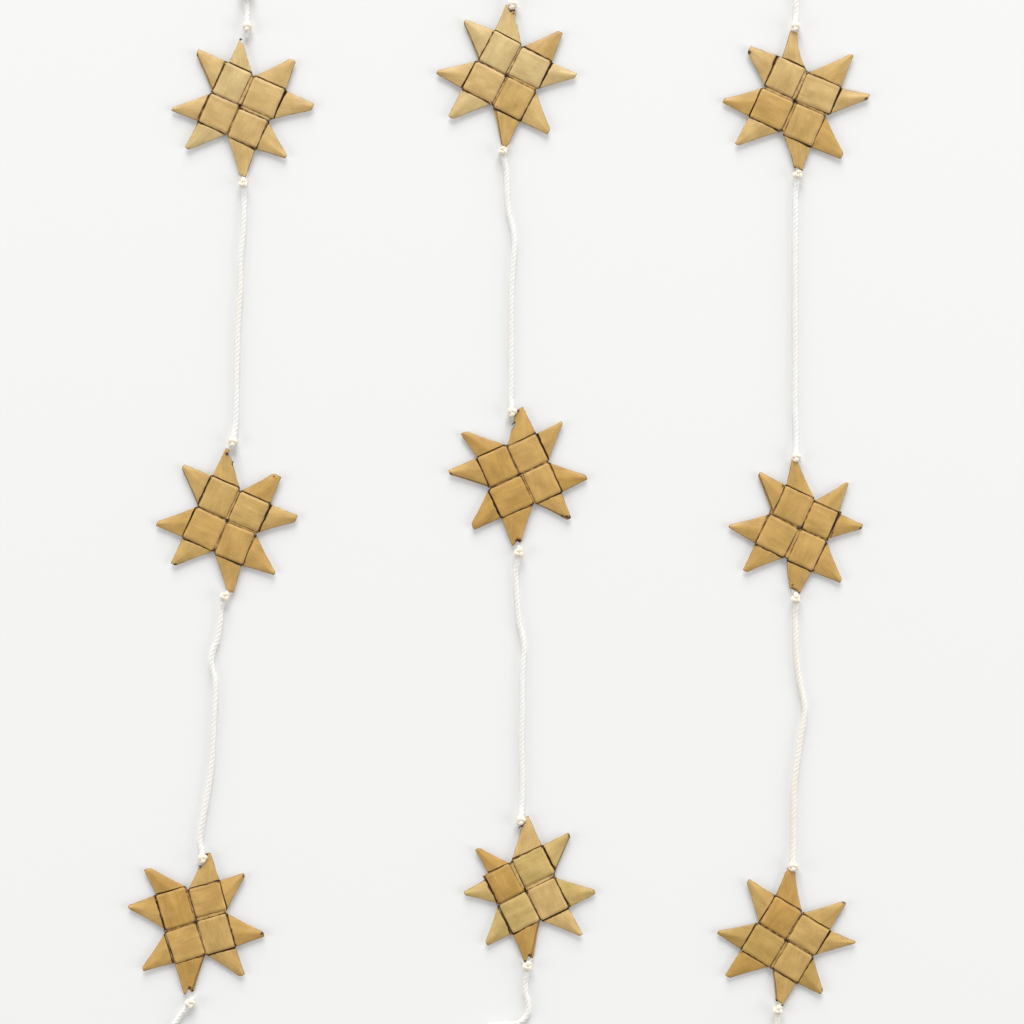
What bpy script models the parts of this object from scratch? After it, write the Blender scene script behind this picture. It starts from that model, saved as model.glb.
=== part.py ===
"""Garland of nine eight-pointed woven leaf stars, strung tip to tip on a twisted cotton cord.

The garland lies flat and face up on the plane z = 0, laid out in three runs. +X is to the right, +Y runs up
the runs and +Z faces the viewer. The origin is under the middle of the nine stars' common box.

Each star is four palm-leaf strips in a plain weave. Every strip wraps one square of the body, front and back,
runs on as a tongue between the two leaves of the next square, and ends in a folded point at both ends.
The named sizes are in millimetres.
"""

import math
from collections import namedtuple

import bmesh
import bpy
from mathutils import Matrix, Vector

MM = 0.001

# Leaf strips
STRIP_WIDTH = 12.0
LEAF_THICKNESS = 0.8
LAYER_GAP = 0.3
SQUARE_GAP = 0.3
PILLOW_RISE = 0.3
PILLOW_MARGIN = 1.8
FOLD_WALL = 0.8

# Folded points
POINT_REACH = 11.3
POINT_EDGE = 1.0
POINT_RIDGE = 2.1
TIP_WIDTH = 1.8
TIP_EDGE = 0.9
TIP_RIDGE = 1.2

# Cord, knots and hanging loops
CORD_DIAMETER = 2.0
KNOT_DIAMETER = 3.8
LOOP_KNOT_DIAMETER = 5.4
LOOP_LENGTH = 24.0
LOOP_WIDTH = 10.0
FLOOR_GAP = 0.05
TIP_GAP = 0.35
KNOT_ENTRY = 1.2
CORD_STEP = 6.0
LOOP_STEP = 4.0

# How close two corners of a joined shape lie to be one
WELD_DISTANCE = 0.002

STAR_THICKNESS = 3 * LEAF_THICKNESS + 2 * LAYER_GAP
MIDDLE = STAR_THICKNESS / 2

# Layout of the three runs of three stars
RUN_SPACING = 104.0
STAR_SPACING = 150.0
RUN_PLACES = {"left": -1, "middle": 0, "right": 1}
ROW_PLACES = {"top": 1, "centre": 0, "bottom": -1}

# A star's run and row, how far it lies from its place there, its turn in degrees counter-clockwise, and its
# two knots: how far inward from the middle of the tip, and how far beyond it
Star = namedtuple("Star", "run row shift turn upper lower")
STARS = {
    "star_1": Star("left", "top", (9.3, -3.9), -24.8, (1.2, 4.0), (-1.9, 2.1)),
    "star_2": Star("left", "centre", (4.5, -5.7), -24.0, (1.3, 4.0), (0.6, 2.4)),
    "star_3": Star("left", "bottom", (-7.0, -2.6), 15.8, (3.8, 0.0), (0.9, 4.7)),
    "star_4": Star("middle", "bottom", (10.0, 8.9), 26.0, (2.3, 1.7), (-0.6, 2.4)),
    "star_5": Star("middle", "centre", (7.2, 11.0), 24.1, (4.6, -0.7), (-0.5, 2.7)),
    "star_6": Star("middle", "top", (2.6, 7.1), -27.3, (1.0, 2.4), (-0.5, 2.4)),
    "star_7": Star("right", "top", (4.2, -2.1), -24.6, (0.0, 2.4), (-1.3, 2.4)),
    "star_8": Star("right", "centre", (5.4, -8.3), -24.9, (-0.5, 2.4), (0.8, 2.4)),
    "star_9": Star("right", "bottom", (0.9, -8.9), -30.8, (-0.4, 2.4), (-0.8, 2.3)),
}

# The cord's way between two knots, as it lies: the share of the straight line from knot to knot, and how far
# to the left of that line
RUNS = {
    "cord_1_2": ("star_1 lower", "star_2 upper", [
        (0.05, 0.3), (0.12, 0.5), (0.18, 0.5), (0.23, 0.3), (0.28, 0.0), (0.33, 0.0), (0.40, 0.3),
        (0.47, 0.1), (0.57, 0.0), (0.64, 0.1), (0.76, 0.2), (0.85, 0.5), (0.93, 0.5),
    ]),
    "cord_2_3": ("star_2 lower", "star_3 upper", [
        (0.05, -1.0), (0.10, -0.8), (0.17, -1.2), (0.21, -2.2), (0.25, -2.5), (0.28, -1.9), (0.33, -0.5),
        (0.40, 0.3), (0.48, 0.7), (0.56, 1.1), (0.64, 1.5), (0.71, 1.4), (0.79, 1.0), (0.86, 0.5), (0.94, 0.2),
    ]),
    "cord_3_4": ("star_3 lower", "star_4 lower", [
        (-0.035, -4.6), (-0.058, -8.3), (-0.068, -12.3), (-0.059, -16.0), (-0.03, -18.6), (0.022, -20.0),
        (0.13, -21.1), (0.26, -21.7), (0.39, -23.1), (0.52, -25.3), (0.64, -26.7), (0.74, -25.4),
        (0.80, -22.5), (0.846, -20.3), (0.885, -19.5), (0.923, -19.7), (0.949, -19.8), (0.972, -18.5),
        (0.985, -16.0), (0.987, -12.5), (0.984, -9.0), (0.986, -5.5),
    ]),
    "cord_4_5": ("star_4 upper", "star_5 lower", [
        (0.05, -1.3), (0.10, -1.5), (0.16, -1.5), (0.23, -1.3), (0.31, -1.2), (0.40, -1.4), (0.51, -1.4),
        (0.58, -1.6), (0.64, -1.9), (0.69, -1.2), (0.73, -0.3), (0.78, 0.3), (0.84, 0.7), (0.92, 1.1),
    ]),
    "cord_5_6": ("star_5 upper", "star_6 lower", [
        (0.06, -0.5), (0.14, -0.9), (0.26, -1.2), (0.38, -1.6), (0.49, -2.1), (0.56, -2.7), (0.61, -3.2),
        (0.65, -3.5), (0.69, -3.2), (0.73, -2.5), (0.77, -1.8), (0.83, -1.4), (0.92, -1.3),
    ]),
    "cord_6_7": ("star_6 upper", "star_7 upper", [
        (-0.011, 3.4), (-0.008, 6.8), (0.005, 9.9), (0.036, 12.2), (0.10, 14.0), (0.22, 15.3), (0.36, 15.6),
        (0.50, 17.0), (0.66, 19.2), (0.80, 20.6), (0.89, 20.3), (0.949, 18.4), (0.98, 15.2), (0.991, 11.2),
        (0.993, 7.2), (0.996, 4.0),
    ]),
    "cord_7_8": ("star_7 lower", "star_8 upper", [
        (0.05, -0.3), (0.13, -0.4), (0.26, -0.7), (0.39, -0.8), (0.52, -1.0), (0.65, -1.0), (0.78, -1.2),
        (0.86, -1.2), (0.94, -0.9),
    ]),
    "cord_8_9": ("star_8 lower", "star_9 upper", [
        (0.05, 0.5), (0.10, 0.6), (0.17, 0.7), (0.23, 1.1), (0.29, 1.8), (0.34, 2.7), (0.38, 3.5), (0.42, 3.8),
        (0.46, 3.3), (0.52, 2.3), (0.60, 1.2), (0.67, 0.3), (0.73, -0.2), (0.82, -0.3), (0.92, -0.4),
    ]),
}

# The two free ends: the knot that each starts from, its direction in degrees and the way to its loop's knot
FREE_ENDS = {
    "cord_first_end": ("star_1 upper", 91.0, 14.0),
    "cord_last_end": ("star_9 lower", -93.0, 9.5),
}

LEAF_COLOURS = [
    (0.56, 0.35, 0.13, 1.0),
    (0.50, 0.34, 0.12, 1.0),
    (0.60, 0.39, 0.16, 1.0),
    (0.53, 0.32, 0.11, 1.0),
]
CORD_COLOUR = (0.86, 0.83, 0.75, 1.0)
STRIP_NAMES = ("upright_left", "cross_lower", "upright_right", "cross_upper")


def clear_scene():
    for thing in list(bpy.data.objects):
        bpy.data.objects.remove(thing, do_unlink=True)


def make_material(name, colour, roughness):
    material = bpy.data.materials.new(name)
    material.use_nodes = True
    shader = material.node_tree.nodes["Principled BSDF"]
    shader.inputs["Base Color"].default_value = colour
    shader.inputs["Roughness"].default_value = roughness
    shader.inputs["Metallic"].default_value = 0.0
    material.diffuse_color = colour
    return material


def add_object(name, mesh, collection):
    thing = bpy.data.objects.new(name, mesh)
    collection.objects.link(thing)
    return thing


def block(low, high):
    """A box between two corners, in millimetres."""
    bm = bmesh.new()
    bmesh.ops.create_cube(bm, size=1.0)
    low, high = Vector(low) * MM, Vector(high) * MM
    bmesh.ops.scale(bm, vec=high - low, verts=bm.verts)
    bmesh.ops.translate(bm, vec=(low + high) / 2, verts=bm.verts)
    return bm


def pillow_leaf(low, high, facing):
    """A leaf over one square, whose outer face, up or down, rises a little inside its margin."""
    bm = block(low, high)
    outer = [face for face in bm.faces if face.normal.z * facing > 0.9]
    bmesh.ops.inset_region(bm, faces=outer, thickness=PILLOW_MARGIN * MM)
    for vert in {vert for face in outer for vert in face.verts}:
        vert.co.z += facing * PILLOW_RISE * MM
    return bm


def loft(sections):
    """A closed skin over rings of the same number of points, in millimetres."""
    bm = bmesh.new()
    rings = [[bm.verts.new(Vector(point) * MM) for point in section] for section in sections]
    count = len(rings[0])
    for lower, upper in zip(rings, rings[1:]):
        for i in range(count):
            j = (i + 1) % count
            bm.faces.new((lower[i], lower[j], upper[j], upper[i]))
    bm.faces.new(rings[0])
    bm.faces.new(rings[-1])
    bmesh.ops.recalc_face_normals(bm, faces=bm.faces)
    return bm


def inner_edge(beyond):
    """Where the slanted edge of the left strip's point is, at a distance beyond the body's side."""
    share = beyond / POINT_REACH
    return -SQUARE_GAP / 2 * (1 - share) + (-STRIP_WIDTH + TIP_WIDTH) * share


def point_section(beyond, side):
    """Six corners across a folded point: two edges, and a soft ridge on the front and the back."""
    share = max(beyond, 0.0) / POINT_REACH
    edge = (POINT_EDGE * (1 - share) + TIP_EDGE * share) / 2
    ridge = (POINT_RIDGE * (1 - share) + TIP_RIDGE * share) / 2
    outer, inner = -STRIP_WIDTH, inner_edge(max(beyond, 0.0))
    middle = (outer + inner) / 2
    y = side * (STRIP_WIDTH + beyond)
    return [
        (outer, y, MIDDLE - edge),
        (middle, y, MIDDLE - ridge),
        (inner, y, MIDDLE - edge),
        (inner, y, MIDDLE + edge),
        (middle, y, MIDDLE + ridge),
        (outer, y, MIDDLE + edge),
    ]


def strip_pieces():
    """The overlapping parts of the strip on the left, whose leaves wrap the upper left square."""
    side = STRIP_WIDTH
    half = SQUARE_GAP / 2
    top = STAR_THICKNESS - PILLOW_RISE
    leaf_low = PILLOW_RISE
    clear = FOLD_WALL + LAYER_GAP
    wall_low, wall_high = leaf_low + LEAF_THICKNESS / 4, top - LEAF_THICKNESS / 4
    tongue_low, tongue_high = MIDDLE - LEAF_THICKNESS / 2, MIDDLE + LEAF_THICKNESS / 2
    front = pillow_leaf((-side, half, STAR_THICKNESS - LEAF_THICKNESS), (-half, side, top), 1)
    back = pillow_leaf((-side, half, leaf_low), (-half, side, LEAF_THICKNESS), -1)
    inner_wall = block((-side, half, wall_low), (-half, half + FOLD_WALL, wall_high))
    outer_wall = block((-side, side - FOLD_WALL, wall_low), (-half, side, wall_high))
    reach_in = half + FOLD_WALL / 2
    point_start = LAYER_GAP
    tongue_end = side + point_start + FOLD_WALL
    tongue = block((-side + clear, -tongue_end, tongue_low), (-half - clear, reach_in, tongue_high))
    upper = loft([point_section(beyond, 1) for beyond in (-FOLD_WALL / 2, 0.0, POINT_REACH)])
    lower = loft([point_section(beyond, -1) for beyond in (point_start, POINT_REACH)])
    return [front, back, inner_wall, outer_wall, tongue, upper, lower]


def joined(name, meshes, cutters):
    """One closed mesh from overlapping closed ones, by exact unions."""
    things = []
    for index, bm in enumerate(meshes):
        mesh = bpy.data.meshes.new(f"{name}_{index}")
        bm.to_mesh(mesh)
        bm.free()
        things.append(add_object(f"{name}_{index}", mesh, cutters))
    return unite(name, things)


def unite(name, things):
    """The exact union of objects as one mesh in world space. The objects are removed."""
    base = things[0]
    for other in things[1:]:
        union = base.modifiers.new("union", "BOOLEAN")
        union.operation = "UNION"
        union.solver = "EXACT"
        union.object = other
    bpy.context.view_layer.update()
    graph = bpy.context.evaluated_depsgraph_get()
    mesh = bpy.data.meshes.new_from_object(base.evaluated_get(graph))
    mesh.transform(base.matrix_world)
    for thing in things:
        bpy.data.objects.remove(thing, do_unlink=True)
    tidy = bmesh.new()
    tidy.from_mesh(mesh)
    bmesh.ops.remove_doubles(tidy, verts=tidy.verts, dist=WELD_DISTANCE * MM)
    bmesh.ops.dissolve_limit(tidy, angle_limit=math.radians(0.5), verts=tidy.verts, edges=tidy.edges)
    tidy.to_mesh(mesh)
    tidy.free()
    mesh.name = name
    return mesh


def nearest_on_point(place):
    """The nearest place on the outline of the left strip's upper point, beyond the body's side."""
    corners = [
        Vector((inner_edge(0.0), STRIP_WIDTH)),
        Vector((inner_edge(POINT_REACH), STRIP_WIDTH + POINT_REACH)),
        Vector((-STRIP_WIDTH, STRIP_WIDTH + POINT_REACH)),
    ]
    found = None
    for start, end in zip(corners, corners[1:]):
        along = (place - start).dot(end - start) / (end - start).length_squared
        spot = start.lerp(end, min(max(along, 0.0), 1.0))
        if found is None or (place - spot).length < (place - found).length:
            found = spot
    return found


def star_centre(star):
    return Vector((
        RUN_PLACES[star.run] * RUN_SPACING + star.shift[0],
        ROW_PLACES[star.row] * STAR_SPACING + star.shift[1],
    ))


def knot_places(end):
    """The knot's middle and the spot where the cord meets the tip, both on the ground plan."""
    name, which = end.split()
    star = STARS[name]
    inward, beyond = star.upper if which == "upper" else star.lower
    knot = Vector((-STRIP_WIDTH + TIP_WIDTH / 2 + inward, STRIP_WIDTH + POINT_REACH + beyond))
    meets = nearest_on_point(knot)
    meets = meets + (knot - meets).normalized() * TIP_GAP
    # The left strip's upper point is copied to the tip that this knot is tied at
    if (star.turn > 0) == (which == "upper"):
        knot, meets = Vector((-knot.x, knot.y)), Vector((-meets.x, meets.y))
    if which == "lower":
        knot, meets = Vector((knot.x, -knot.y)), Vector((meets.x, -meets.y))
    turned = Matrix.Rotation(math.radians(star.turn), 2)
    centre = star_centre(star)
    return centre + turned @ knot, centre + turned @ meets


def between(a, b, c, d, share):
    """A place on a Catmull-Rom curve between b and c."""
    return 0.5 * (
        2 * b
        + (c - a) * share
        + (2 * a - 5 * b + 4 * c - d) * share ** 2
        + (3 * b - a - 3 * c + d) * share ** 3
    )


def smooth_way(points, step):
    """Points about one step apart on a smooth curve through the given points."""
    padded = [2 * points[0] - points[1], *points, 2 * points[-1] - points[-2]]
    fine = []
    pieces = 12
    for a, b, c, d in zip(padded, padded[1:], padded[2:], padded[3:]):
        fine += [between(a, b, c, d, i / pieces) for i in range(pieces)]
    fine.append(points[-1])
    lengths = [0.0]
    for a, b in zip(fine, fine[1:]):
        lengths.append(lengths[-1] + (b - a).length)
    count = max(2, round(lengths[-1] / step))
    way, at = [], 0
    for i in range(count + 1):
        wanted = lengths[-1] * i / count
        while at < len(fine) - 2 and lengths[at + 1] < wanted:
            at += 1
        share = (wanted - lengths[at]) / (lengths[at + 1] - lengths[at])
        way.append(fine[at].lerp(fine[at + 1], min(max(share, 0.0), 1.0)))
    return way


def cord_tube(name, way, cutters):
    """A round tube along a way, with its end caps welded on."""
    curve = bpy.data.curves.new(name, "CURVE")
    curve.dimensions = "3D"
    curve.bevel_depth = CORD_DIAMETER / 2 * MM
    curve.bevel_resolution = 2
    curve.use_fill_caps = True
    spline = curve.splines.new("POLY")
    spline.points.add(len(way) - 1)
    for point, place in zip(spline.points, way):
        point.co = (*(place * MM), 1.0)
    drawn = add_object(name, curve, cutters)
    bpy.context.view_layer.update()
    graph = bpy.context.evaluated_depsgraph_get()
    mesh = bpy.data.meshes.new_from_object(drawn.evaluated_get(graph))
    bm = bmesh.new()
    bm.from_mesh(mesh)
    bmesh.ops.remove_doubles(bm, verts=bm.verts, dist=WELD_DISTANCE * MM)
    bmesh.ops.recalc_face_normals(bm, faces=bm.faces)
    bm.to_mesh(mesh)
    bm.free()
    tube = add_object(name + "_tube", mesh, cutters)
    bpy.data.objects.remove(drawn, do_unlink=True)
    return tube


def knot_ball(name, place, diameter, cutters):
    bm = bmesh.new()
    bmesh.ops.create_icosphere(bm, subdivisions=2, radius=diameter / 2 * MM)
    bmesh.ops.translate(bm, vec=place * MM, verts=bm.verts)
    mesh = bpy.data.meshes.new(name)
    bm.to_mesh(mesh)
    bm.free()
    return add_object(name, mesh, cutters)


def knot_start(end, at_floor):
    """The places from a star's tip to where the cord settles on the floor, and the knot's middle."""
    knot, meets = knot_places(end)
    knot_height = KNOT_DIAMETER / 2 + FLOOR_GAP
    start = Vector((*meets, MIDDLE))
    middle = Vector((*knot, knot_height))
    toward = (at_floor - middle)
    leaves = middle + toward.normalized() * (KNOT_DIAMETER / 2 + KNOT_ENTRY)
    leaves.z = (knot_height + at_floor.z) / 2
    return [start, middle, leaves], middle


def floor_point(place):
    return Vector((*place, CORD_DIAMETER / 2 + FLOOR_GAP))


def make_run(name, first, last, shares, cutters):
    """The cord from one star's tip to the next one's, with a knot at each."""
    start, end = knot_places(first)[0], knot_places(last)[0]
    left = Vector((start.y - end.y, end.x - start.x)).normalized()
    lying = [floor_point(start + (end - start) * share + left * aside) for share, aside in shares]
    first_part, first_knot = knot_start(first, lying[0])
    last_part, last_knot = knot_start(last, lying[-1])
    way = smooth_way([first_part[1], first_part[2], *lying, last_part[2], last_part[1]], CORD_STEP)
    way = [first_part[0], *way, last_part[0]]
    tube = cord_tube(name, way, cutters)
    knots = [
        knot_ball(f"{name}_knot_{index}", place, KNOT_DIAMETER, cutters)
        for index, place in enumerate((first_knot, last_knot))
    ]
    return unite(name, [tube, *knots])


def loop_way(knot, toward):
    """A drop-shaped loop that leaves a knot and comes back into it, along a direction."""
    across = Vector((-toward.y, toward.x, 0.0))
    entry = CORD_DIAMETER / 2 + LAYER_GAP
    # Shares of the loop's length and of half its width, out along one side and back along the other
    shape = [(0.05, 0.24), (0.25, 0.62), (0.5, 0.95), (0.75, 0.95), (0.93, 0.6), (1.0, 0.0)]
    half = LOOP_WIDTH / 2
    out = [knot + toward * LOOP_LENGTH * far + across * max(half * wide, entry) for far, wide in shape[:-1]]
    turn = [knot + toward * LOOP_LENGTH]
    home = [knot + toward * LOOP_LENGTH * far - across * max(half * wide, entry) for far, wide in shape[-2::-1]]
    return out + turn + home


def make_free_end(name, end, angle, stretch, cutters):
    """The cord from a star's tip to its free end, tied in a small hanging loop."""
    start = knot_places(end)[0]
    flat = Vector((math.cos(math.radians(angle)), math.sin(math.radians(angle))))
    toward = Vector((*flat, 0.0))
    lying = floor_point(start + flat * stretch / 2)
    first_part, first_knot = knot_start(end, lying)
    loop_base = floor_point(start + flat * stretch)
    knot = Vector((*loop_base.xy, LOOP_KNOT_DIAMETER / 2 + FLOOR_GAP))
    loop = loop_way(loop_base, toward)
    way = smooth_way([first_part[1], first_part[2], lying, *loop], LOOP_STEP)
    tube = cord_tube(name, [first_part[0], *way], cutters)
    knots = [
        knot_ball(f"{name}_knot", first_knot, KNOT_DIAMETER, cutters),
        knot_ball(f"{name}_loop_knot", knot, LOOP_KNOT_DIAMETER, cutters),
    ]
    return unite(name, [tube, *knots])


def make_stars(collection, cutters, garland):
    leaves = [make_material(f"palm_leaf_{i + 1}", colour, 0.5) for i, colour in enumerate(LEAF_COLOURS)]
    strip = joined("leaf_strip", strip_pieces(), cutters)
    strip.materials.append(leaves[0])
    for number, (name, star) in enumerate(STARS.items()):
        middle = add_object(name, None, collection)
        middle.parent = garland
        middle.location = (*star_centre(star) * MM, 0.0)
        middle.rotation_euler.z = math.radians(star.turn)
        for quarter, part in enumerate(STRIP_NAMES):
            piece = add_object(f"{name}_{part}", strip, collection)
            piece.parent = middle
            piece.rotation_euler.z = quarter * math.pi / 2
            piece.material_slots[0].link = "OBJECT"
            piece.material_slots[0].material = leaves[(quarter + number) % len(leaves)]


def make_cords(collection, cutters, garland):
    cotton = make_material("cotton_cord", CORD_COLOUR, 0.9)
    meshes = {name: make_run(name, *run, cutters) for name, run in RUNS.items()}
    for name, free_end in FREE_ENDS.items():
        meshes[name] = make_free_end(name, *free_end, cutters)
    for name, mesh in meshes.items():
        mesh.shade_smooth()
        mesh.materials.clear()
        mesh.materials.append(cotton)
        add_object(name, mesh, collection).parent = garland


def stand_over_origin(collection, garland):
    """Moves the garland so that the middle of its stars' common box is over the origin."""
    bpy.context.view_layer.update()
    corners = [
        thing.matrix_world @ vert.co
        for thing in collection.objects
        if thing.type == "MESH" and thing.name.startswith("star_")
        for vert in thing.data.vertices
    ]
    for axis in (0, 1):
        places = [corner[axis] for corner in corners]
        garland.location[axis] -= (min(places) + max(places)) / 2


def main():
    clear_scene()
    scene = bpy.context.scene
    collection = bpy.data.collections.new("star_garland")
    cutters = bpy.data.collections.new("cutters")
    scene.collection.children.link(collection)
    scene.collection.children.link(cutters)
    garland = add_object("garland", None, collection)
    make_stars(collection, cutters, garland)
    make_cords(collection, cutters, garland)
    stand_over_origin(collection, garland)


main()
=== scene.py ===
"""Looks of the woven leaf star garland: palm-leaf stars on a twisted cotton cord, seen from straight above.

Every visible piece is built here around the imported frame. A star's leaves are drawn in the star's own
upright frame in millimetres, then turned and moved to the star's place.
"""

import math
import random
from collections import namedtuple

import bmesh
import bpy
import numpy as np
from mathutils import Matrix, Vector, noise


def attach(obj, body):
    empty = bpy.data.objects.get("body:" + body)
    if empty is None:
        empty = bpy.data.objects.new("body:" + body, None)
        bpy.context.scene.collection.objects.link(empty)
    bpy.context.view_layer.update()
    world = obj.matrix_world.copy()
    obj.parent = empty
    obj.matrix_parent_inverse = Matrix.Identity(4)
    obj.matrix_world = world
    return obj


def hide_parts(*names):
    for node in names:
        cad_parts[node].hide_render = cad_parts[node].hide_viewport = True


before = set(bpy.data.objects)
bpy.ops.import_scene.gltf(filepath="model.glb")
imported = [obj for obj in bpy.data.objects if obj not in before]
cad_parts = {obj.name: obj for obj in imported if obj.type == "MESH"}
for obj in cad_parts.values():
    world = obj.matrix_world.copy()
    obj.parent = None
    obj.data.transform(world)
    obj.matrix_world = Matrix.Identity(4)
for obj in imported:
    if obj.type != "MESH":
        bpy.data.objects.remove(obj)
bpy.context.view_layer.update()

MM = 0.001

# The picture: how much of the floor one of its 1024 pixels shows, and the spot under its middle
PHOTO_PIXELS = 1024
MM_PER_PIXEL = 0.366
VIEW_MIDDLE = (5.27, -1.60)
CAMERA_HEIGHT = 1000.0
SENSOR_WIDTH = 36.0

# The garland's own sizes, as in the solids
STRIP_WIDTH = 12.0
POINT_REACH = 11.3
TIP_WIDTH = 1.8
TIP_GAP = 0.35
STAR_THICKNESS = 3.0
MIDDLE = STAR_THICKNESS / 2
CORD_DIAMETER = 2.0
KNOT_DIAMETER = 3.8
LOOP_KNOT_DIAMETER = 5.4
LOOP_LENGTH = 24.0
LOOP_WIDTH = 10.0
FLOOR_GAP = 0.05
KNOT_ENTRY = 1.2
LAYER_GAP = 0.3
RUN_SPACING = 104.0
STAR_SPACING = 150.0
# Where the middle one of the nine regular places lies in the frame
LAYOUT_SHIFT = (0.5502, 0.8748)
RUN_PLACES = {"left": -1, "middle": 0, "right": 1}
ROW_PLACES = {"top": 1, "centre": 0, "bottom": -1}

# Thin leaf and its folds
LEAF = 0.36
FOLD_RADIUS = 1.15
WALL_DROP = 1.3
LEAF_STEP = 0.42
POINT_STEP = 0.5
POINT_COLUMNS = 23
TONGUE_COLUMNS = 16
GROOVE_DEPTH = 0.9
# The puffed middle of a leaf stands this much higher than its rim, whose cut sides droop
PUFF = 0.50
PUFF_WIDTH = 5.5
RIM_DROP = 0.44
DROOP = 0.30
DROOP_WIDTH = 0.9
# Half a folded point's height along its crest, at its base and at its tip
BASE_RIDGE = 1.16
TIP_RIDGE = 0.62
# The hidden layers: half the side of the inmost ones, and upper and lower heights
CORE = 1.4
CORE_HEIGHTS = (1.2, 0.8)
TONGUE_HEIGHTS = (2.12, 1.35)
TONGUE_STEP = 0.5
SEAM_STEP = 0.12
CURL_THICKNESS = 0.25

# A star's run and row, how far it lies from its place there, its turn in degrees counter-clockwise, and its
# two knots: how far inward from the middle of the tip, and how far beyond it
Star = namedtuple("Star", "run row shift turn upper lower")
STARS = {
    "star_1": Star("left", "top", (9.3, -3.9), -24.8, (1.2, 4.0), (-1.9, 2.1)),
    "star_2": Star("left", "centre", (4.5, -5.7), -24.0, (1.3, 4.0), (0.6, 2.4)),
    "star_3": Star("left", "bottom", (-7.0, -2.6), 15.8, (3.8, 0.0), (0.9, 4.7)),
    "star_4": Star("middle", "bottom", (10.0, 8.9), 26.0, (2.3, 1.7), (-0.6, 2.4)),
    "star_5": Star("middle", "centre", (7.2, 11.0), 24.1, (4.6, -0.7), (-0.5, 2.7)),
    "star_6": Star("middle", "top", (2.6, 7.1), -27.3, (1.0, 2.4), (-0.5, 2.4)),
    "star_7": Star("right", "top", (4.2, -2.1), -24.6, (0.0, 2.4), (-1.3, 2.4)),
    "star_8": Star("right", "centre", (5.4, -8.3), -24.9, (-0.5, 2.4), (0.8, 2.4)),
    "star_9": Star("right", "bottom", (0.9, -8.9), -30.8, (-0.4, 2.4), (-0.8, 2.3)),
}

# The strips counter-clockwise from the upper left square, and the points of each: the one beyond its own
# square first, then the one at its other end
STRIPS = ("upright_left", "cross_lower", "upright_right", "cross_upper")
POINTS = (
    ("top_left", "bottom_left"),
    ("left_lower", "right_lower"),
    ("bottom_right", "top_right"),
    ("right_upper", "left_upper"),
)

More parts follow.
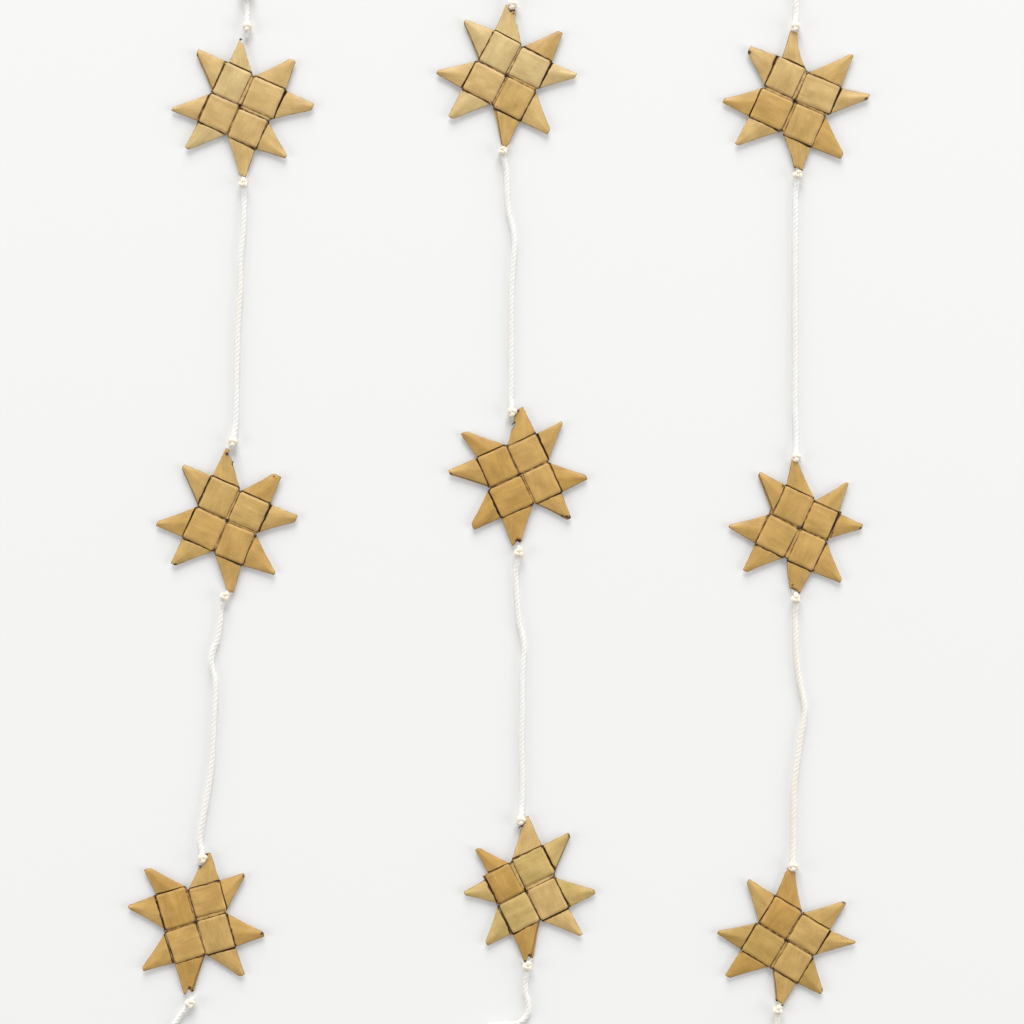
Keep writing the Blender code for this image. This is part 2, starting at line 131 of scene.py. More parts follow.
# How each star came out of the hands: its four squares as left, right, low and high edges and a turn in
# degrees, in the order of STRIPS, then the middle and the width of each tip, in the order of POINT_NAMES
Weave = namedtuple("Weave", "squares tips")
POINT_NAMES = (
    "top_left", "top_right", "right_upper", "right_lower",
    "bottom_right", "bottom_left", "left_lower", "left_upper",
)
HAND_WOVEN = {
    "star_1": (
        [(-11.3, -1.1, 0.0, 12.7, 0.0), (-11.7, -0.1, -11.5, -0.1, 0.8), (0.3, 11.6, -12.0, -0.7, 2.0),
         (0.1, 12.7, 0.6, 12.2, 1.8)],
        [(-10.1, 22.6, 0.9), (10.4, 23.4, 2.4), (24.3, 10.8, 2.8), (23.1, -9.8, 1.3), (11.5, -23.0, 2.5),
         (-11.2, -22.4, 1.9), (-22.3, -11.5, 1.4), (-22.7, 11.5, 2.2)],
    ),
    "star_2": (
        [(-11.8, -0.8, 0.3, 12.9, 0.0), (-12.5, 0.1, -12.1, 0.0, -1.5), (0.5, 11.4, -12.8, -0.1, 2.5),
         (0.0, 12.0, 0.6, 12.0, 0.0)],
        [(-10.6, 24.2, 1.3), (10.0, 22.8, 3.2), (22.9, 11.0, 2.8), (23.8, -10.6, 1.2), (11.5, -23.3, 2.8),
         (-11.6, -22.7, 2.0), (-23.2, -11.4, 1.9), (-23.0, 11.5, 1.9)],
    ),
    "star_3": (
        [(-11.2, -0.1, 0.1, 13.7, 1.0), (-11.6, 0.2, -12.3, -0.3, 2.5), (0.6, 11.5, -12.7, 0.4, 0.0),
         (0.6, 12.5, 1.6, 12.3, -1.0)],
        [(-11.9, 23.7, 2.6), (11.0, 23.1, 2.2), (21.8, 11.8, 1.6), (22.8, -11.0, 1.8), (11.0, -23.4, 2.4),
         (-9.6, -24.4, 3.7), (-23.4, -11.3, 1.6), (-22.3, 12.0, 1.3)],
    ),
    "star_4": (
        [(-11.0, -1.2, 0.0, 12.0, 2.0), (-11.5, -0.1, -11.8, -0.1, 1.0), (0.2, 11.2, -12.4, 0.2, 0.0),
         (0.0, 12.4, 1.4, 12.4, 0.5)],
        [(-9.5, 21.8, 1.8), (11.8, 24.3, 1.8), (23.2, 11.6, 1.8), (22.4, -11.2, 1.9), (10.9, -23.4, 1.5),
         (-10.3, -23.3, 3.7), (-21.7, -11.0, 1.8), (-20.9, 9.0, 1.5)],
    ),
    "star_5": (
        [(-11.3, 0.1, 0.0, 12.2, 0.0), (-12.3, 0.8, -11.6, -0.3, 1.0), (1.5, 11.8, -12.2, 0.0, 0.5),
         (0.3, 12.1, 0.4, 11.2, 1.0)],
        [(-12.1, 22.5, 2.6), (10.2, 22.3, 2.9), (22.4, 11.1, 1.2), (22.4, -10.8, 1.8), (10.3, -22.2, 1.7),
         (-11.0, -22.7, 3.6), (-23.2, -10.4, 2.6), (-22.9, 11.3, 1.8)],
    ),
    "star_6": (
        [(-11.4, -0.5, 0.2, 13.0, -1.0), (-12.3, 0.2, -11.5, -0.1, 0.5), (0.9, 12.0, -12.4, 0.2, 0.0),
         (0.2, 12.5, 1.1, 12.1, 1.0)],
        [(-10.2, 23.2, 3.8), (10.3, 23.5, 2.0), (22.7, 11.8, 2.0), (23.3, -11.0, 2.3), (11.1, -23.2, 2.4),
         (-11.1, -22.9, 2.2), (-23.2, -10.3, 1.6), (-22.8, 10.8, 1.6)],
    ),
    "star_7": (
        [(-12.2, -1.4, 0.3, 12.6, -0.5), (-12.9, 0.1, -12.1, -0.6, 0.5), (1.2, 12.4, -12.9, -0.2, 1.5),
         (-0.1, 13.4, 0.6, 11.4, 2.5)],
        [(-10.8, 23.2, 2.8), (12.0, 24.2, 1.3), (24.1, 12.7, 2.2), (24.2, -11.1, 2.4), (11.6, -22.5, 3.2),
         (-12.7, -23.3, 1.6), (-23.9, -10.7, 1.6), (-23.2, 10.3, 2.8)],
    ),
    "star_8": (
        [(-10.5, 0.9, 0.4, 12.4, 0.0), (-11.8, 0.1, -11.8, 0.0, -2.5), (1.3, 11.3, -12.4, 0.2, 0.5),
         (1.1, 11.3, 0.6, 11.2, 1.5)],
        [(-11.5, 21.9, 2.2), (9.4, 22.6, 1.2), (21.2, 10.2, 1.9), (22.5, -11.0, 1.6), (8.7, -21.6, 4.0),
         (-11.0, -22.6, 1.8), (-23.2, -10.0, 1.2), (-21.3, 12.0, 1.6)],
    ),
    "star_9": (
        [(-11.4, -0.2, 0.1, 12.0, -0.5), (-12.2, 0.2, -11.5, -0.2, -0.5), (1.2, 11.6, -11.6, 0.0, 0.0),
         (0.2, 12.2, 0.5, 11.2, 0.5)],
        [(-11.3, 23.0, 3.2), (11.6, 22.8, 1.6), (22.5, 12.0, 1.0), (21.3, -9.9, 2.0), (10.1, -21.7, 3.0),
         (-11.4, -22.7, 2.0), (-22.7, -10.4, 1.4), (-22.9, 11.3, 1.7)],
    ),
}
WEAVES = {name: Weave(squares, dict(zip(POINT_NAMES, tips))) for name, (squares, tips) in HAND_WOVEN.items()}

# Points whose outer edge starts further in than the square's corner, and by how much
INSETS = {
    ("star_1", "top_left"): 0.8,
    ("star_4", "top_left"): 1.2,
    ("star_4", "left_upper"): 1.6,
    ("star_7", "top_left"): 1.3,
}

# How a point's end is cut, as shares of its width from the outer edge, and millimetres cut back there
PLAIN_END = [(0.0, 0.35), (0.14, 0.03), (0.5, 0.0), (0.86, 0.05), (1.0, 0.4)]
ROUND_END = [(0.0, 1.0), (0.2, 0.35), (0.5, 0.0), (0.8, 0.1), (1.0, 0.5)]
SLOPED_END = [(0.0, 0.1), (0.15, 0.0), (0.5, 0.05), (0.75, 0.6), (1.0, 1.2)]
SPLIT_END = [
    (0.0, 0.2), (0.1, 0.0), (0.3, 0.3), (0.42, 1.5), (0.58, 1.6), (0.7, 0.4), (0.88, 0.1), (1.0, 0.6),
]
FRAYED_END = [
    (0.0, 0.1), (0.14, 0.0), (0.24, 0.7), (0.4, 0.9), (0.52, 0.6), (0.7, 1.0), (0.84, 0.5), (1.0, 0.8),
]
ENDS = {
    ("star_3", "bottom_left"): SPLIT_END,
    ("star_4", "bottom_left"): SPLIT_END,
    ("star_5", "top_right"): SLOPED_END,
    ("star_5", "bottom_left"): SPLIT_END,
    ("star_6", "top_left"): SPLIT_END,
    ("star_7", "top_left"): ROUND_END,
    ("star_7", "bottom_right"): FRAYED_END,
    ("star_8", "bottom_right"): FRAYED_END,
    ("star_9", "bottom_right"): FRAYED_END,
}

# Bites that the cord's hole took out of slanted edges: from and to, beyond the body's side, and how deep
BITE_SLOPE = 0.7
NO_BITE = (0.0, 1.0, 0.0)
BITES = {
    ("star_1", "top_left"): (8.1, 10.0, 1.3),
    ("star_2", "top_left"): (8.5, 11.0, 1.1),
    ("star_3", "top_right"): (7.0, 10.8, 2.3),
    ("star_4", "top_right"): (10.2, 11.5, 0.5),
    ("star_5", "top_right"): (5.6, 8.8, 1.0),
    ("star_6", "top_left"): (5.6, 9.6, 0.9),
    ("star_8", "bottom_right"): (6.2, 7.8, 0.8),
}

# Slanted edges that bow in more than the others, and by how much in their middle
BOW = 0.25
BOWS = {
    ("star_7", "top_left"): 1.1,
    ("star_9", "top_left"): 0.5,
    ("star_7", "bottom_right"): 0.6,
    ("star_8", "bottom_right"): -0.3,
}

# Points whose front layer stops short of the slanted edge and shows the layer under it: how far short at the
# base and at the tip
LAYERED = {
    ("star_1", "left_upper"): (0.9, 0.5),
    ("star_2", "left_upper"): (0.5, 0.3),
    ("star_3", "bottom_left"): (0.3, 0.9),
    ("star_4", "bottom_left"): (0.5, 1.3),
    ("star_4", "right_upper"): (0.5, 0.4),
    ("star_5", "left_upper"): (0.5, 0.3),
    ("star_5", "bottom_right"): (0.1, 0.7),
    ("star_6", "left_upper"): (0.7, 0.3),
    ("star_6", "bottom_right"): (1.2, 0.2),
    ("star_8", "left_upper"): (1.0, 0.5),
    ("star_9", "bottom_right"): (0.3, 0.6),
}

# A scrap that curls away beside a cord's hole, on the strip whose own frame it is told in: where it starts,
# its heading in degrees and its length
CURLS = {
    ("star_2", "upright_left"): ((-7.0, 20.2), 40.0, 0.8),
    ("star_3", "upright_right"): ((-7.3, -19.2), -60.0, 0.9),
    ("star_4", "upright_right"): ((-9.2, -22.0), -30.0, 1.9),
    ("star_5", "upright_right"): ((-6.9, -18.1), -23.0, 1.9),
}

# Width of the gap where each point tucks under its square, painted dark as shade
GROOVES = {
    "top_left": 0.24, "top_right": 0.38, "right_upper": 0.54, "right_lower": 0.44,
    "bottom_right": 0.40, "bottom_left": 0.45, "left_lower": 0.50, "left_upper": 0.55,
}
# Gaps that are wider or narrower than most
OTHER_GROOVES = {
    "star_2": {"left_lower": 0.28},
    "star_3": {"right_upper": 0.15, "left_lower": 0.8, "left_upper": 0.75},
    "star_4": {"left_lower": 0.72, "left_upper": 0.88},
    "star_5": {"bottom_right": 0.26},
    "star_6": {"top_left": 0.14, "top_right": 0.5, "left_lower": 0.3, "left_upper": 0.34},
    "star_7": {"left_lower": 0.28, "left_upper": 0.75, "right_lower": 0.24},
    "star_8": {
        "top_left": 0.16, "left_lower": 0.28, "left_upper": 0.36, "right_upper": 0.72, "bottom_left": 0.52,
    },
    "star_9": {"left_lower": 0.28, "left_upper": 0.36, "right_upper": 0.38},
}

# How much a cord's start leans from straight back towards the middle of the leaf's tip
TIP_PULL = 0.35
# Knots that are drawn close against their star's tip, in the star's frame, and not at the solids' places
DRAWN_KNOTS = {
    "star_3 upper": (8.9, 21.9), "star_4 upper": (9.6, 24.2), "star_4 lower": (-11.7, -25.0),
    "star_5 upper": (7.2, 22.1), "star_6 upper": (-10.0, 24.1), "star_6 lower": (11.6, -25.1),
    "star_7 upper": (-11.2, 24.7), "star_7 lower": (12.3, -24.1), "star_8 upper": (-11.6, 23.2),
    "star_8 lower": (10.3, -23.9), "star_9 upper": (-11.5, 24.4), "star_9 lower": (10.8, -23.6),
}

# Brown marks on the tips and edges, as a place in the star's frame and a radius
MARKS = {
    "star_1": [(-10.3, 22.3, 0.6), (-22.2, 10.3, 0.5)],
    "star_2": [(-10.0, 22.3, 0.8), (-6.6, 19.6, 0.5), (9.1, 21.8, 0.5), (9.6, 22.9, 0.4),
               (11.4, 22.5, 0.4), (-10.8, -22.4, 0.6), (23.7, -10.4, 0.4)],
    "star_3": [(10.6, 22.9, 0.7), (7.0, 19.0, 0.7), (22.2, -10.5, 0.7), (-8.6, -22.5, 0.8),
               (-8.0, -23.8, 0.5), (-10.9, -24.5, 0.4), (21.8, 11.5, 0.9)],
    "star_4": [(9.1, 22.3, 0.6), (23.3, 11.4, 0.9), (22.4, -10.7, 0.5), (-9.2, -21.8, 0.8),
               (-9.2, -23.1, 0.5), (-11.9, -23.0, 0.5)],
    "star_5": [(6.0, 18.9, 0.7), (9.3, 21.5, 0.6), (-9.5, -21.8, 0.8), (8.4, -20.2, 0.6),
               (9.8, -21.0, 0.7), (10.8, -21.7, 0.8), (-22.8, 10.6, 0.7), (22.5, -11.0, 0.5)],
    "star_6": [(-8.6, 22.7, 0.6), (-8.0, 21.3, 0.4), (-11.8, 23.2, 0.4)],
    "star_7": [(-22.6, 9.2, 0.8), (23.4, 11.6, 0.6), (12.7, -22.3, 0.7), (7.3, -19.3, 0.5),
               (24.3, -10.6, 0.4), (-23.7, -9.9, 0.4)],
    "star_8": [(-21.3, 11.7, 0.5), (10.5, -21.5, 0.6), (6.9, -19.8, 0.5), (20.7, 9.6, 0.5),
               (-23.3, -10.0, 0.4)],
    "star_9": [(11.2, 22.7, 0.7), (20.9, -8.9, 0.5), (5.3, -17.9, 0.6), (8.6, -21.0, 0.6),
               (11.3, -21.4, 0.5), (-22.8, -10.6, 0.4)],
}

# The leaf's tone on each strip, in the order of STRIPS; the paler tones of the top row's stars partly paint
# in light that is brighter towards the top
TONES = {
    "star_1": ("pale", "light", "light", "light"),
    "star_2": ("golden", "warm", "warm", "golden"),
    "star_3": ("brown", "warm", "golden", "warm"),
    "star_4": ("brown", "olive", "light", "olive"),
    "star_5": ("brown", "brown", "warm", "warm"),
    "star_6": ("pale", "light", "golden", "pale"),
    "star_7": ("light", "warm", "golden", "light"),
    "star_8": ("warm", "warm", "warm", "warm"),
    "star_9": ("brown", "tan", "golden", "golden"),
}
# Linear colours: the leaf's darker and paler fibres
TONE_COLOURS = {
    "pale": ((0.392, 0.268, 0.100), (0.696, 0.525, 0.246)),
    "light": ((0.374, 0.237, 0.077), (0.684, 0.475, 0.198)),
    "olive": ((0.341, 0.226, 0.068), (0.629, 0.457, 0.169)),
    "golden": ((0.338, 0.204, 0.057), (0.625, 0.414, 0.144)),
    "warm": ((0.333, 0.192, 0.049), (0.620, 0.390, 0.122)),
    "brown": ((0.316, 0.171, 0.038), (0.575, 0.348, 0.094)),
    "tan": ((0.306, 0.180, 0.045), (0.557, 0.367, 0.108)),
}
THREAD_BROWN = (0.27, 0.145, 0.042)
# Browns for rubbed edges and marks, which also paint the shade in gaps and grooves, down to the near-black
# of the deepest gaps
WORN_AND_SHADED_BROWN = (0.20, 0.095, 0.025)
DEEP_BROWN_AND_SHADE = (0.028, 0.014, 0.006)

# The cord's way between two knots, as it lies: the share of the straight line from knot to knot, and how far
# to the left of that line
RUNS = {
    "cord_1_2": ("star_1 lower", "star_2 upper", [
        (0.05, 0.3), (0.12, 0.5), (0.18, 0.5), (0.23, 0.3), (0.28, 0.0), (0.33, 0.0), (0.40, 0.3),
        (0.47, 0.1), (0.57, 0.0), (0.64, 0.1), (0.76, 0.2), (0.85, 0.5), (0.93, 0.5),
    ]),
    "cord_2_3": ("star_2 lower", "star_3 upper", [
        (0.05, -1.0), (0.10, -0.8), (0.17, -1.2), (0.21, -2.2), (0.25, -2.5), (0.28, -1.9), (0.33, -0.5),
        (0.40, 0.3), (0.48, 0.7), (0.56, 1.1), (0.64, 1.5), (0.71, 1.4), (0.79, 1.0), (0.86, 0.5),
        (0.94, 0.2),
    ]),
    "cord_3_4": ("star_3 lower", "star_4 lower", [
        (-0.035, -4.6), (-0.058, -8.3), (-0.068, -12.3), (-0.059, -16.0), (-0.03, -18.6), (0.022, -20.0),
        (0.13, -21.1), (0.26, -21.7), (0.39, -23.1), (0.52, -25.3), (0.64, -26.7), (0.74, -25.4),
        (0.80, -22.5), (0.846, -20.3), (0.885, -19.5), (0.923, -19.7), (0.949, -19.8), (0.972, -18.5),
        (0.985, -16.0), (0.987, -12.5), (0.984, -9.0), (0.986, -5.5),
    ]),
    "cord_4_5": ("star_4 upper", "star_5 lower", [
        (0.05, -1.3), (0.10, -1.5), (0.16, -1.5), (0.23, -1.3), (0.31, -1.2), (0.40, -1.4), (0.51, -1.4),
        (0.58, -1.6), (0.64, -1.9), (0.69, -1.2), (0.73, -0.3), (0.78, 0.3), (0.84, 0.7), (0.92, 1.1),
    ]),
    "cord_5_6": ("star_5 upper", "star_6 lower", [
        (0.06, -0.5), (0.14, -0.9), (0.26, -1.2), (0.38, -1.6), (0.49, -2.1), (0.56, -2.7), (0.61, -3.2),
        (0.65, -3.5), (0.69, -3.2), (0.73, -2.5), (0.77, -1.8), (0.83, -1.4), (0.92, -1.3),
    ]),
    "cord_6_7": ("star_6 upper", "star_7 upper", [
        (-0.011, 3.4), (-0.008, 6.8), (0.005, 9.9), (0.036, 12.2), (0.10, 14.0), (0.22, 15.3), (0.36, 15.6),
        (0.50, 17.0), (0.66, 19.2), (0.80, 20.6), (0.89, 20.3), (0.949, 18.4), (0.98, 15.2), (0.991, 11.2),
        (0.993, 7.2), (0.996, 4.0),
    ]),
    "cord_7_8": ("star_7 lower", "star_8 upper", [
        (0.05, -0.3), (0.13, -0.4), (0.26, -0.7), (0.39, -0.8), (0.52, -1.0), (0.65, -1.0), (0.78, -1.2),
        (0.86, -1.2), (0.94, -0.9),
    ]),
    "cord_8_9": ("star_8 lower", "star_9 upper", [
        (0.05, 0.5), (0.10, 0.6), (0.17, 0.7), (0.23, 1.1), (0.29, 1.8), (0.34, 2.7), (0.38, 3.5),
        (0.42, 3.8), (0.46, 3.3), (0.52, 2.3), (0.60, 1.2), (0.67, 0.3), (0.73, -0.2), (0.82, -0.3),
        (0.92, -0.4),
    ]),
}

# The two free ends: the knot that each starts from, its direction in degrees and the way to its loop's knot
FREE_ENDS = {
    "cord_first_end": ("star_1 upper", 91.0, 14.0),
    "cord_last_end": ("star_9 lower", -93.0, 9.5),
}

# Linear colours of the cotton: clean, a little yellower, painted shade between the strands, handled, and its
# stray fibres
CREAM = (0.77, 0.764, 0.742)
YELLOWER_CREAM = (0.755, 0.733, 0.68)
STRAND_GROOVE_SHADE = (0.64, 0.57, 0.44)
HANDLED_COTTON = (0.79, 0.665, 0.47)
FIBRE_WHITE = (0.82, 0.815, 0.80)
# How much handled cotton the loose threads and single cords have, where a knot has 1
YELLOWED_THREADS = 0.4
YELLOWED_CORDS = {"cord_2_3": 0.1, "cord_6_7": 0.2, "cord_8_9": 0.45, "cord_last_end": 0.5}

# The floor in metres and linear grey, and how brightly it shines by itself, so that shadows on it stay pale
FLOOR_HALF = 4.0
FLOOR_GREY = (0.64, 0.64, 0.634)
FLOOR_GLOW = 0.14
SURROUND_STRENGTH = 0.30

# Soft square lights towards the middle: place and side in metres, and power
LIGHTS = {
    "top": ((0.0, 4.6, 2.6), 3.4, 345.0),
    "left": ((-3.4, -0.6, 1.4), 2.6, 71.0),
    "right": ((3.4, -0.6, 1.4), 2.6, 84.0),
}

# The cord's three strands
TWIST_LENGTH = 5.2
STRANDS = 3
STRAND_DEPTH = 0.28
CORD_SIDES = 18
RING_STEP = 0.35
# A tapered end: its length, and its thickness at the very end as a share of the cord's
TAPER_LENGTH = 2.4
TAPER_START = 0.62
# A knot's own strand as a share of the knot's diameter, and the loose threads that stick out
KNOT_STRAND = 0.24
KNOT_POINTS = 60
THREAD_RADIUS = 0.14
THREAD_POINTS = 8
LOOSE_THREADS = 4


def star_place(name):
    """Turns a star's own frame into the row frame, both in millimetres."""
    star = STARS[name]
    x = RUN_PLACES[star.run] * RUN_SPACING + star.shift[0] + LAYOUT_SHIFT[0]
    y = ROW_PLACES[star.row] * STAR_SPACING + star.shift[1] + LAYOUT_SHIFT[1]
    return Matrix.Translation((x, y, 0.0)) @ Matrix.Rotation(math.radians(star.turn), 4, "Z")


def turned_back(place, quarter):
    """A place in the star's frame, seen in the frame of the strip that is that many quarter turns round."""
    x, y = place
    for _ in range(quarter):
        x, y = y, -x
    return np.array((x, y))


def smooth_step(value):
    value = np.clip(value, 0.0, 1.0)
    return value * value * (3.0 - 2.0 * value)


def wobble(x, y, seed, scale):
    """Soft noise between about -1 and 1 over a plan."""
    flat = [
        noise.noise(Vector((a / scale[0], b / scale[1], seed)))
        for a, b in zip(np.ravel(x), np.ravel(y))
    ]
    return np.reshape(flat, np.shape(x))


def add_object(name, data):
    """Puts a mesh, a light or a camera into the scene."""
    thing = bpy.data.objects.new(name, data)
    bpy.context.scene.collection.objects.link(thing)
    return thing


def finish_mesh(mesh, material):
    """Turns the faces outward, smooths them and gives them their material."""
    bm = bmesh.new()
    bm.from_mesh(mesh)
    bmesh.ops.recalc_face_normals(bm, faces=bm.faces)
    bm.to_mesh(mesh)
    bm.free()
    mesh.shade_smooth()
    mesh.materials.append(material)


def fade(value):
    """The opposite of smooth_step: 1 up to 0, and 0 from 1 on."""
    return 1 - smooth_step(value)


def crowded_shares(count, crowding):
    """Shares from 0 to 1 that crowd together towards both ends."""
    even = np.linspace(0.0, 1.0, count)
    return crowding * (1 - np.cos(np.pi * even)) / 2 + (1 - crowding) * even


class LeafMesh:
    """One strip's sheets of leaf, gathered in the strip's own frame in millimetres."""

    def __init__(self, seed, marks):
        self.points, self.faces, self.grain, self.wear_and_shade = [], [], [], []
        self.seed = seed
        self.marks = marks

    def add_sheet(self, top, bottom, grain, wear_and_shade):
        """A closed slab between two grids of points.

        grain is each point's place across and along the fibres, and the last how brown each point is, from
        real browning and from painted shade.
        """
        rows, columns = top.shape[:2]
        start = len(self.points)
        half = rows * columns
        self.points += [tuple(point) for point in top.reshape(-1, 3)]
        self.points += [tuple(point) for point in bottom.reshape(-1, 3)]
        wear_and_shade = np.clip(wear_and_shade + self.marked(top), 0.0, 1.0)
        for _ in range(2):
            self.grain += [(a, b, self.seed) for a, b in grain.reshape(-1, 2)]
            self.wear_and_shade += list(wear_and_shade.ravel())

        def at(i, j, under=False):
            return start + i * columns + j + (half if under else 0)

        for i in range(rows - 1):
            for j in range(columns - 1):
                corners = ((i, j), (i, j + 1), (i + 1, j + 1), (i + 1, j))
                self.faces.append(tuple(at(*corner) for corner in corners))
                self.faces.append(tuple(at(*corner, True) for corner in (corners[0], *corners[:0:-1])))
        for i in range(rows - 1):
            for j in (0, columns - 1):
                self.faces.append((at(i, j), at(i + 1, j), at(i + 1, j, True), at(i, j, True)))
        for j in range(columns - 1):
            for i in (0, rows - 1):
                self.faces.append((at(i, j), at(i, j + 1), at(i, j + 1, True), at(i, j, True)))

    def marked(self, top):
        """How strongly the star's brown marks colour each point of a grid."""
        found = np.zeros(top.shape[:2])
        for x, y, radius in self.marks:
            away = np.hypot(top[..., 0] - x, top[..., 1] - y)
            found = np.maximum(found, fade((away - radius * 0.45) / (radius * 0.8)))
        return found

    def to_object(self, name, place, material):
        mesh = bpy.data.meshes.new(name)
        mesh.from_pydata([place @ Vector(point) * MM for point in self.points], [], self.faces)
        grain = mesh.attributes.new("grain", "FLOAT_VECTOR", "POINT")
        grain.data.foreach_set("vector", np.array(self.grain, np.float32).ravel())
        wear_and_shade = mesh.attributes.new("wear_and_shade", "FLOAT", "POINT")
        wear_and_shade.data.foreach_set("value", np.array(self.wear_and_shade, np.float32))
        finish_mesh(mesh, material)
        mesh.set_sharp_from_angle(angle=math.radians(50))
        return add_object(name, mesh)


def fold_profile(start, end, low, step):
    """Places and heights along a leaf that lies flat and bends down at both ends, and the way along it."""
    radius = FOLD_RADIUS
    ways, heights = [], []
    for drop in (1.0, 0.5):
        ways.append(0.0)
        heights.append(-radius - drop * (WALL_DROP - radius + low))
    for i in range(6):
        angle = math.pi / 2 * i / 5
        ways.append(radius * (1 - math.cos(angle)))
        heights.append(-radius * (1 - math.sin(angle)))
    count = max(8, int((end - start - 2 * radius) / step))
    middle = list(np.linspace(start + radius, end - radius, count + 1))[1:-1]
    places = [start + way for way in ways] + middle + [end - way for way in ways[::-1]]
    drops = heights + [0.0] * len(middle) + heights[::-1]
    return np.array(places), np.array(drops)


def add_leaf(leaf, square, high, facing, seed):
    """The leaf over one square, folded down at both ends of its fibres. facing is 1 in front, -1 behind."""
    left, right, low, top, turn = square
    step = LEAF_STEP if facing > 0 else 2 * LEAF_STEP
    ys, drops = fold_profile(low, top, 0.2, step)
    count = int((right - left) / step)
    xs = left + (right - left) * crowded_shares(count + 1, 0.5)
    x, y = np.meshgrid(xs, ys)
    drop = np.repeat(drops[:, None], len(xs), axis=1)
    side = np.minimum(x - left, right - x)
    end = np.minimum(y - low, top - y)
    # The cut sides droop a little, and the whole leaf is puffed over the layers inside
    droop = DROOP * fade(side / DROOP_WIDTH)
    puff = PUFF * smooth_step(side / PUFF_WIDTH) * smooth_step(end / PUFF_WIDTH)
    streaks = 0.05 * wobble(x, y, seed, (1.3, 9.0)) + 0.08 * wobble(x, y, seed + 3.1, (5.0, 6.0))
    z = high + drop - droop + (puff - RIM_DROP) + streaks * smooth_step(side / 1.5) * smooth_step(end / 1.5)
    edge = 0.10 * wobble(y, 0 * y, seed + 7.7, (2.4, 1.0)) + 0.05 * wobble(y, 0 * y, seed + 9.1, (0.7, 1.0))
    outward = np.where(x < (left + right) / 2, -1.0, 1.0) * fade(side / 1.2)
    x = x + edge * outward
    along = np.cumsum(np.hypot(np.diff(ys, prepend=ys[0]), np.diff(drops, prepend=drops[0])))
    grain = np.dstack((x, np.repeat(along[:, None], len(xs), axis=1)))
    middle_x, middle_y = (left + right) / 2, (low + top) / 2
    c, s = math.cos(math.radians(turn)), math.sin(math.radians(turn))
    turned_x = middle_x + (x - middle_x) * c - (y - middle_y) * s
    turned_y = middle_y + (x - middle_x) * s + (y - middle_y) * c
    inner = np.clip(-drop, 0.0, FOLD_RADIUS) / FOLD_RADIUS
    shrink = 1 - LEAF * inner / (abs(top - low) / 2)
    under_y = middle_y + (turned_y - middle_y) * shrink
    thickness = LEAF * (1 - 0.6 * inner)
    # Brown along the cut sides, partly real and partly painted shade in the gap beside them; painted shade
    # where the fold dips into the gap; and a soft painted shade towards the square's edges
    patchy = 0.72 + 0.8 * wobble(x, y, seed + 13.0, (1.9, 1.9))
    wear_and_shade = patchy * fade(side / 0.30) + patchy * smooth_step((inner - 0.25) / 0.40)
    wear_and_shade = np.maximum(wear_and_shade, 0.17 * fade(np.minimum(side, end + 0.3) / 1.5))
    if facing < 0:
        z = STAR_THICKNESS - z
    over = np.dstack((turned_x, turned_y, z))
    under = np.dstack((turned_x, under_y, z - facing * thickness))
    leaf.add_sheet(over, under, grain, wear_and_shade)


def add_tongue(leaf, own, beyond):
    """The strip's hidden stretch, from its own square's inner fold to the point beyond the next square."""
    seam = (own[2] + beyond[3]) / 2
    seam_start, seam_stop = min(own[2], beyond[3]) - 0.4, max(own[2], beyond[3]) + 0.4
    ys = np.concatenate((
        np.arange(beyond[2] - 0.2, seam_start, TONGUE_STEP),
        np.arange(seam_start, seam_stop, SEAM_STEP),
        np.arange(seam_stop, own[2] + 2.4, TONGUE_STEP),
    ))
    turned = smooth_step((ys - seam + 0.4) / 0.8)[:, None]
    left = beyond[0] + (own[0] - beyond[0]) * turned + 0.15
    right = beyond[1] + (own[1] - beyond[1]) * turned - 0.10
    y = np.repeat(ys[:, None], TONGUE_COLUMNS, axis=1)
    x = left + (right - left) * np.linspace(0.0, 1.0, TONGUE_COLUMNS)
    lift = 0.05 * wobble(x, y, leaf.seed + 5.3, (2.0, 8.0))
    over, under = (np.dstack((x, y, height + lift)) for height in TONGUE_HEIGHTS)
    # Leaf-coloured in the middle of a wide seam, and dark as painted shade where it dips under the two
    # squares
    edge = np.minimum(y - beyond[3], own[2] - y)
    patchy = 0.52 + 0.7 * wobble(x, y, leaf.seed + 8.7, (1.2, 2.5))
    wear_and_shade = 0.14 + 0.5 * wobble(x, y, leaf.seed + 6.1, (1.5, 2.5))
    wear_and_shade = wear_and_shade + patchy * fade((edge - 0.04) / 0.26)
    wear_and_shade = wear_and_shade + 0.4 * fade(np.minimum(x - left, right - x) / 0.4)
    leaf.add_sheet(over, under, np.dstack((x, y)), wear_and_shade)


def add_core(leaf):
    """The inner layers that show through the small hole in the star's middle, dark brown all over as painted
    shade in the hole.
    """
    x, y = np.meshgrid(np.linspace(-CORE, CORE, 4), np.linspace(-CORE, CORE, 4))
    over, under = (np.dstack((x, y, np.full_like(x, height))) for height in CORE_HEIGHTS)
    leaf.add_sheet(over, under, np.dstack((x, y)), np.ones_like(x))


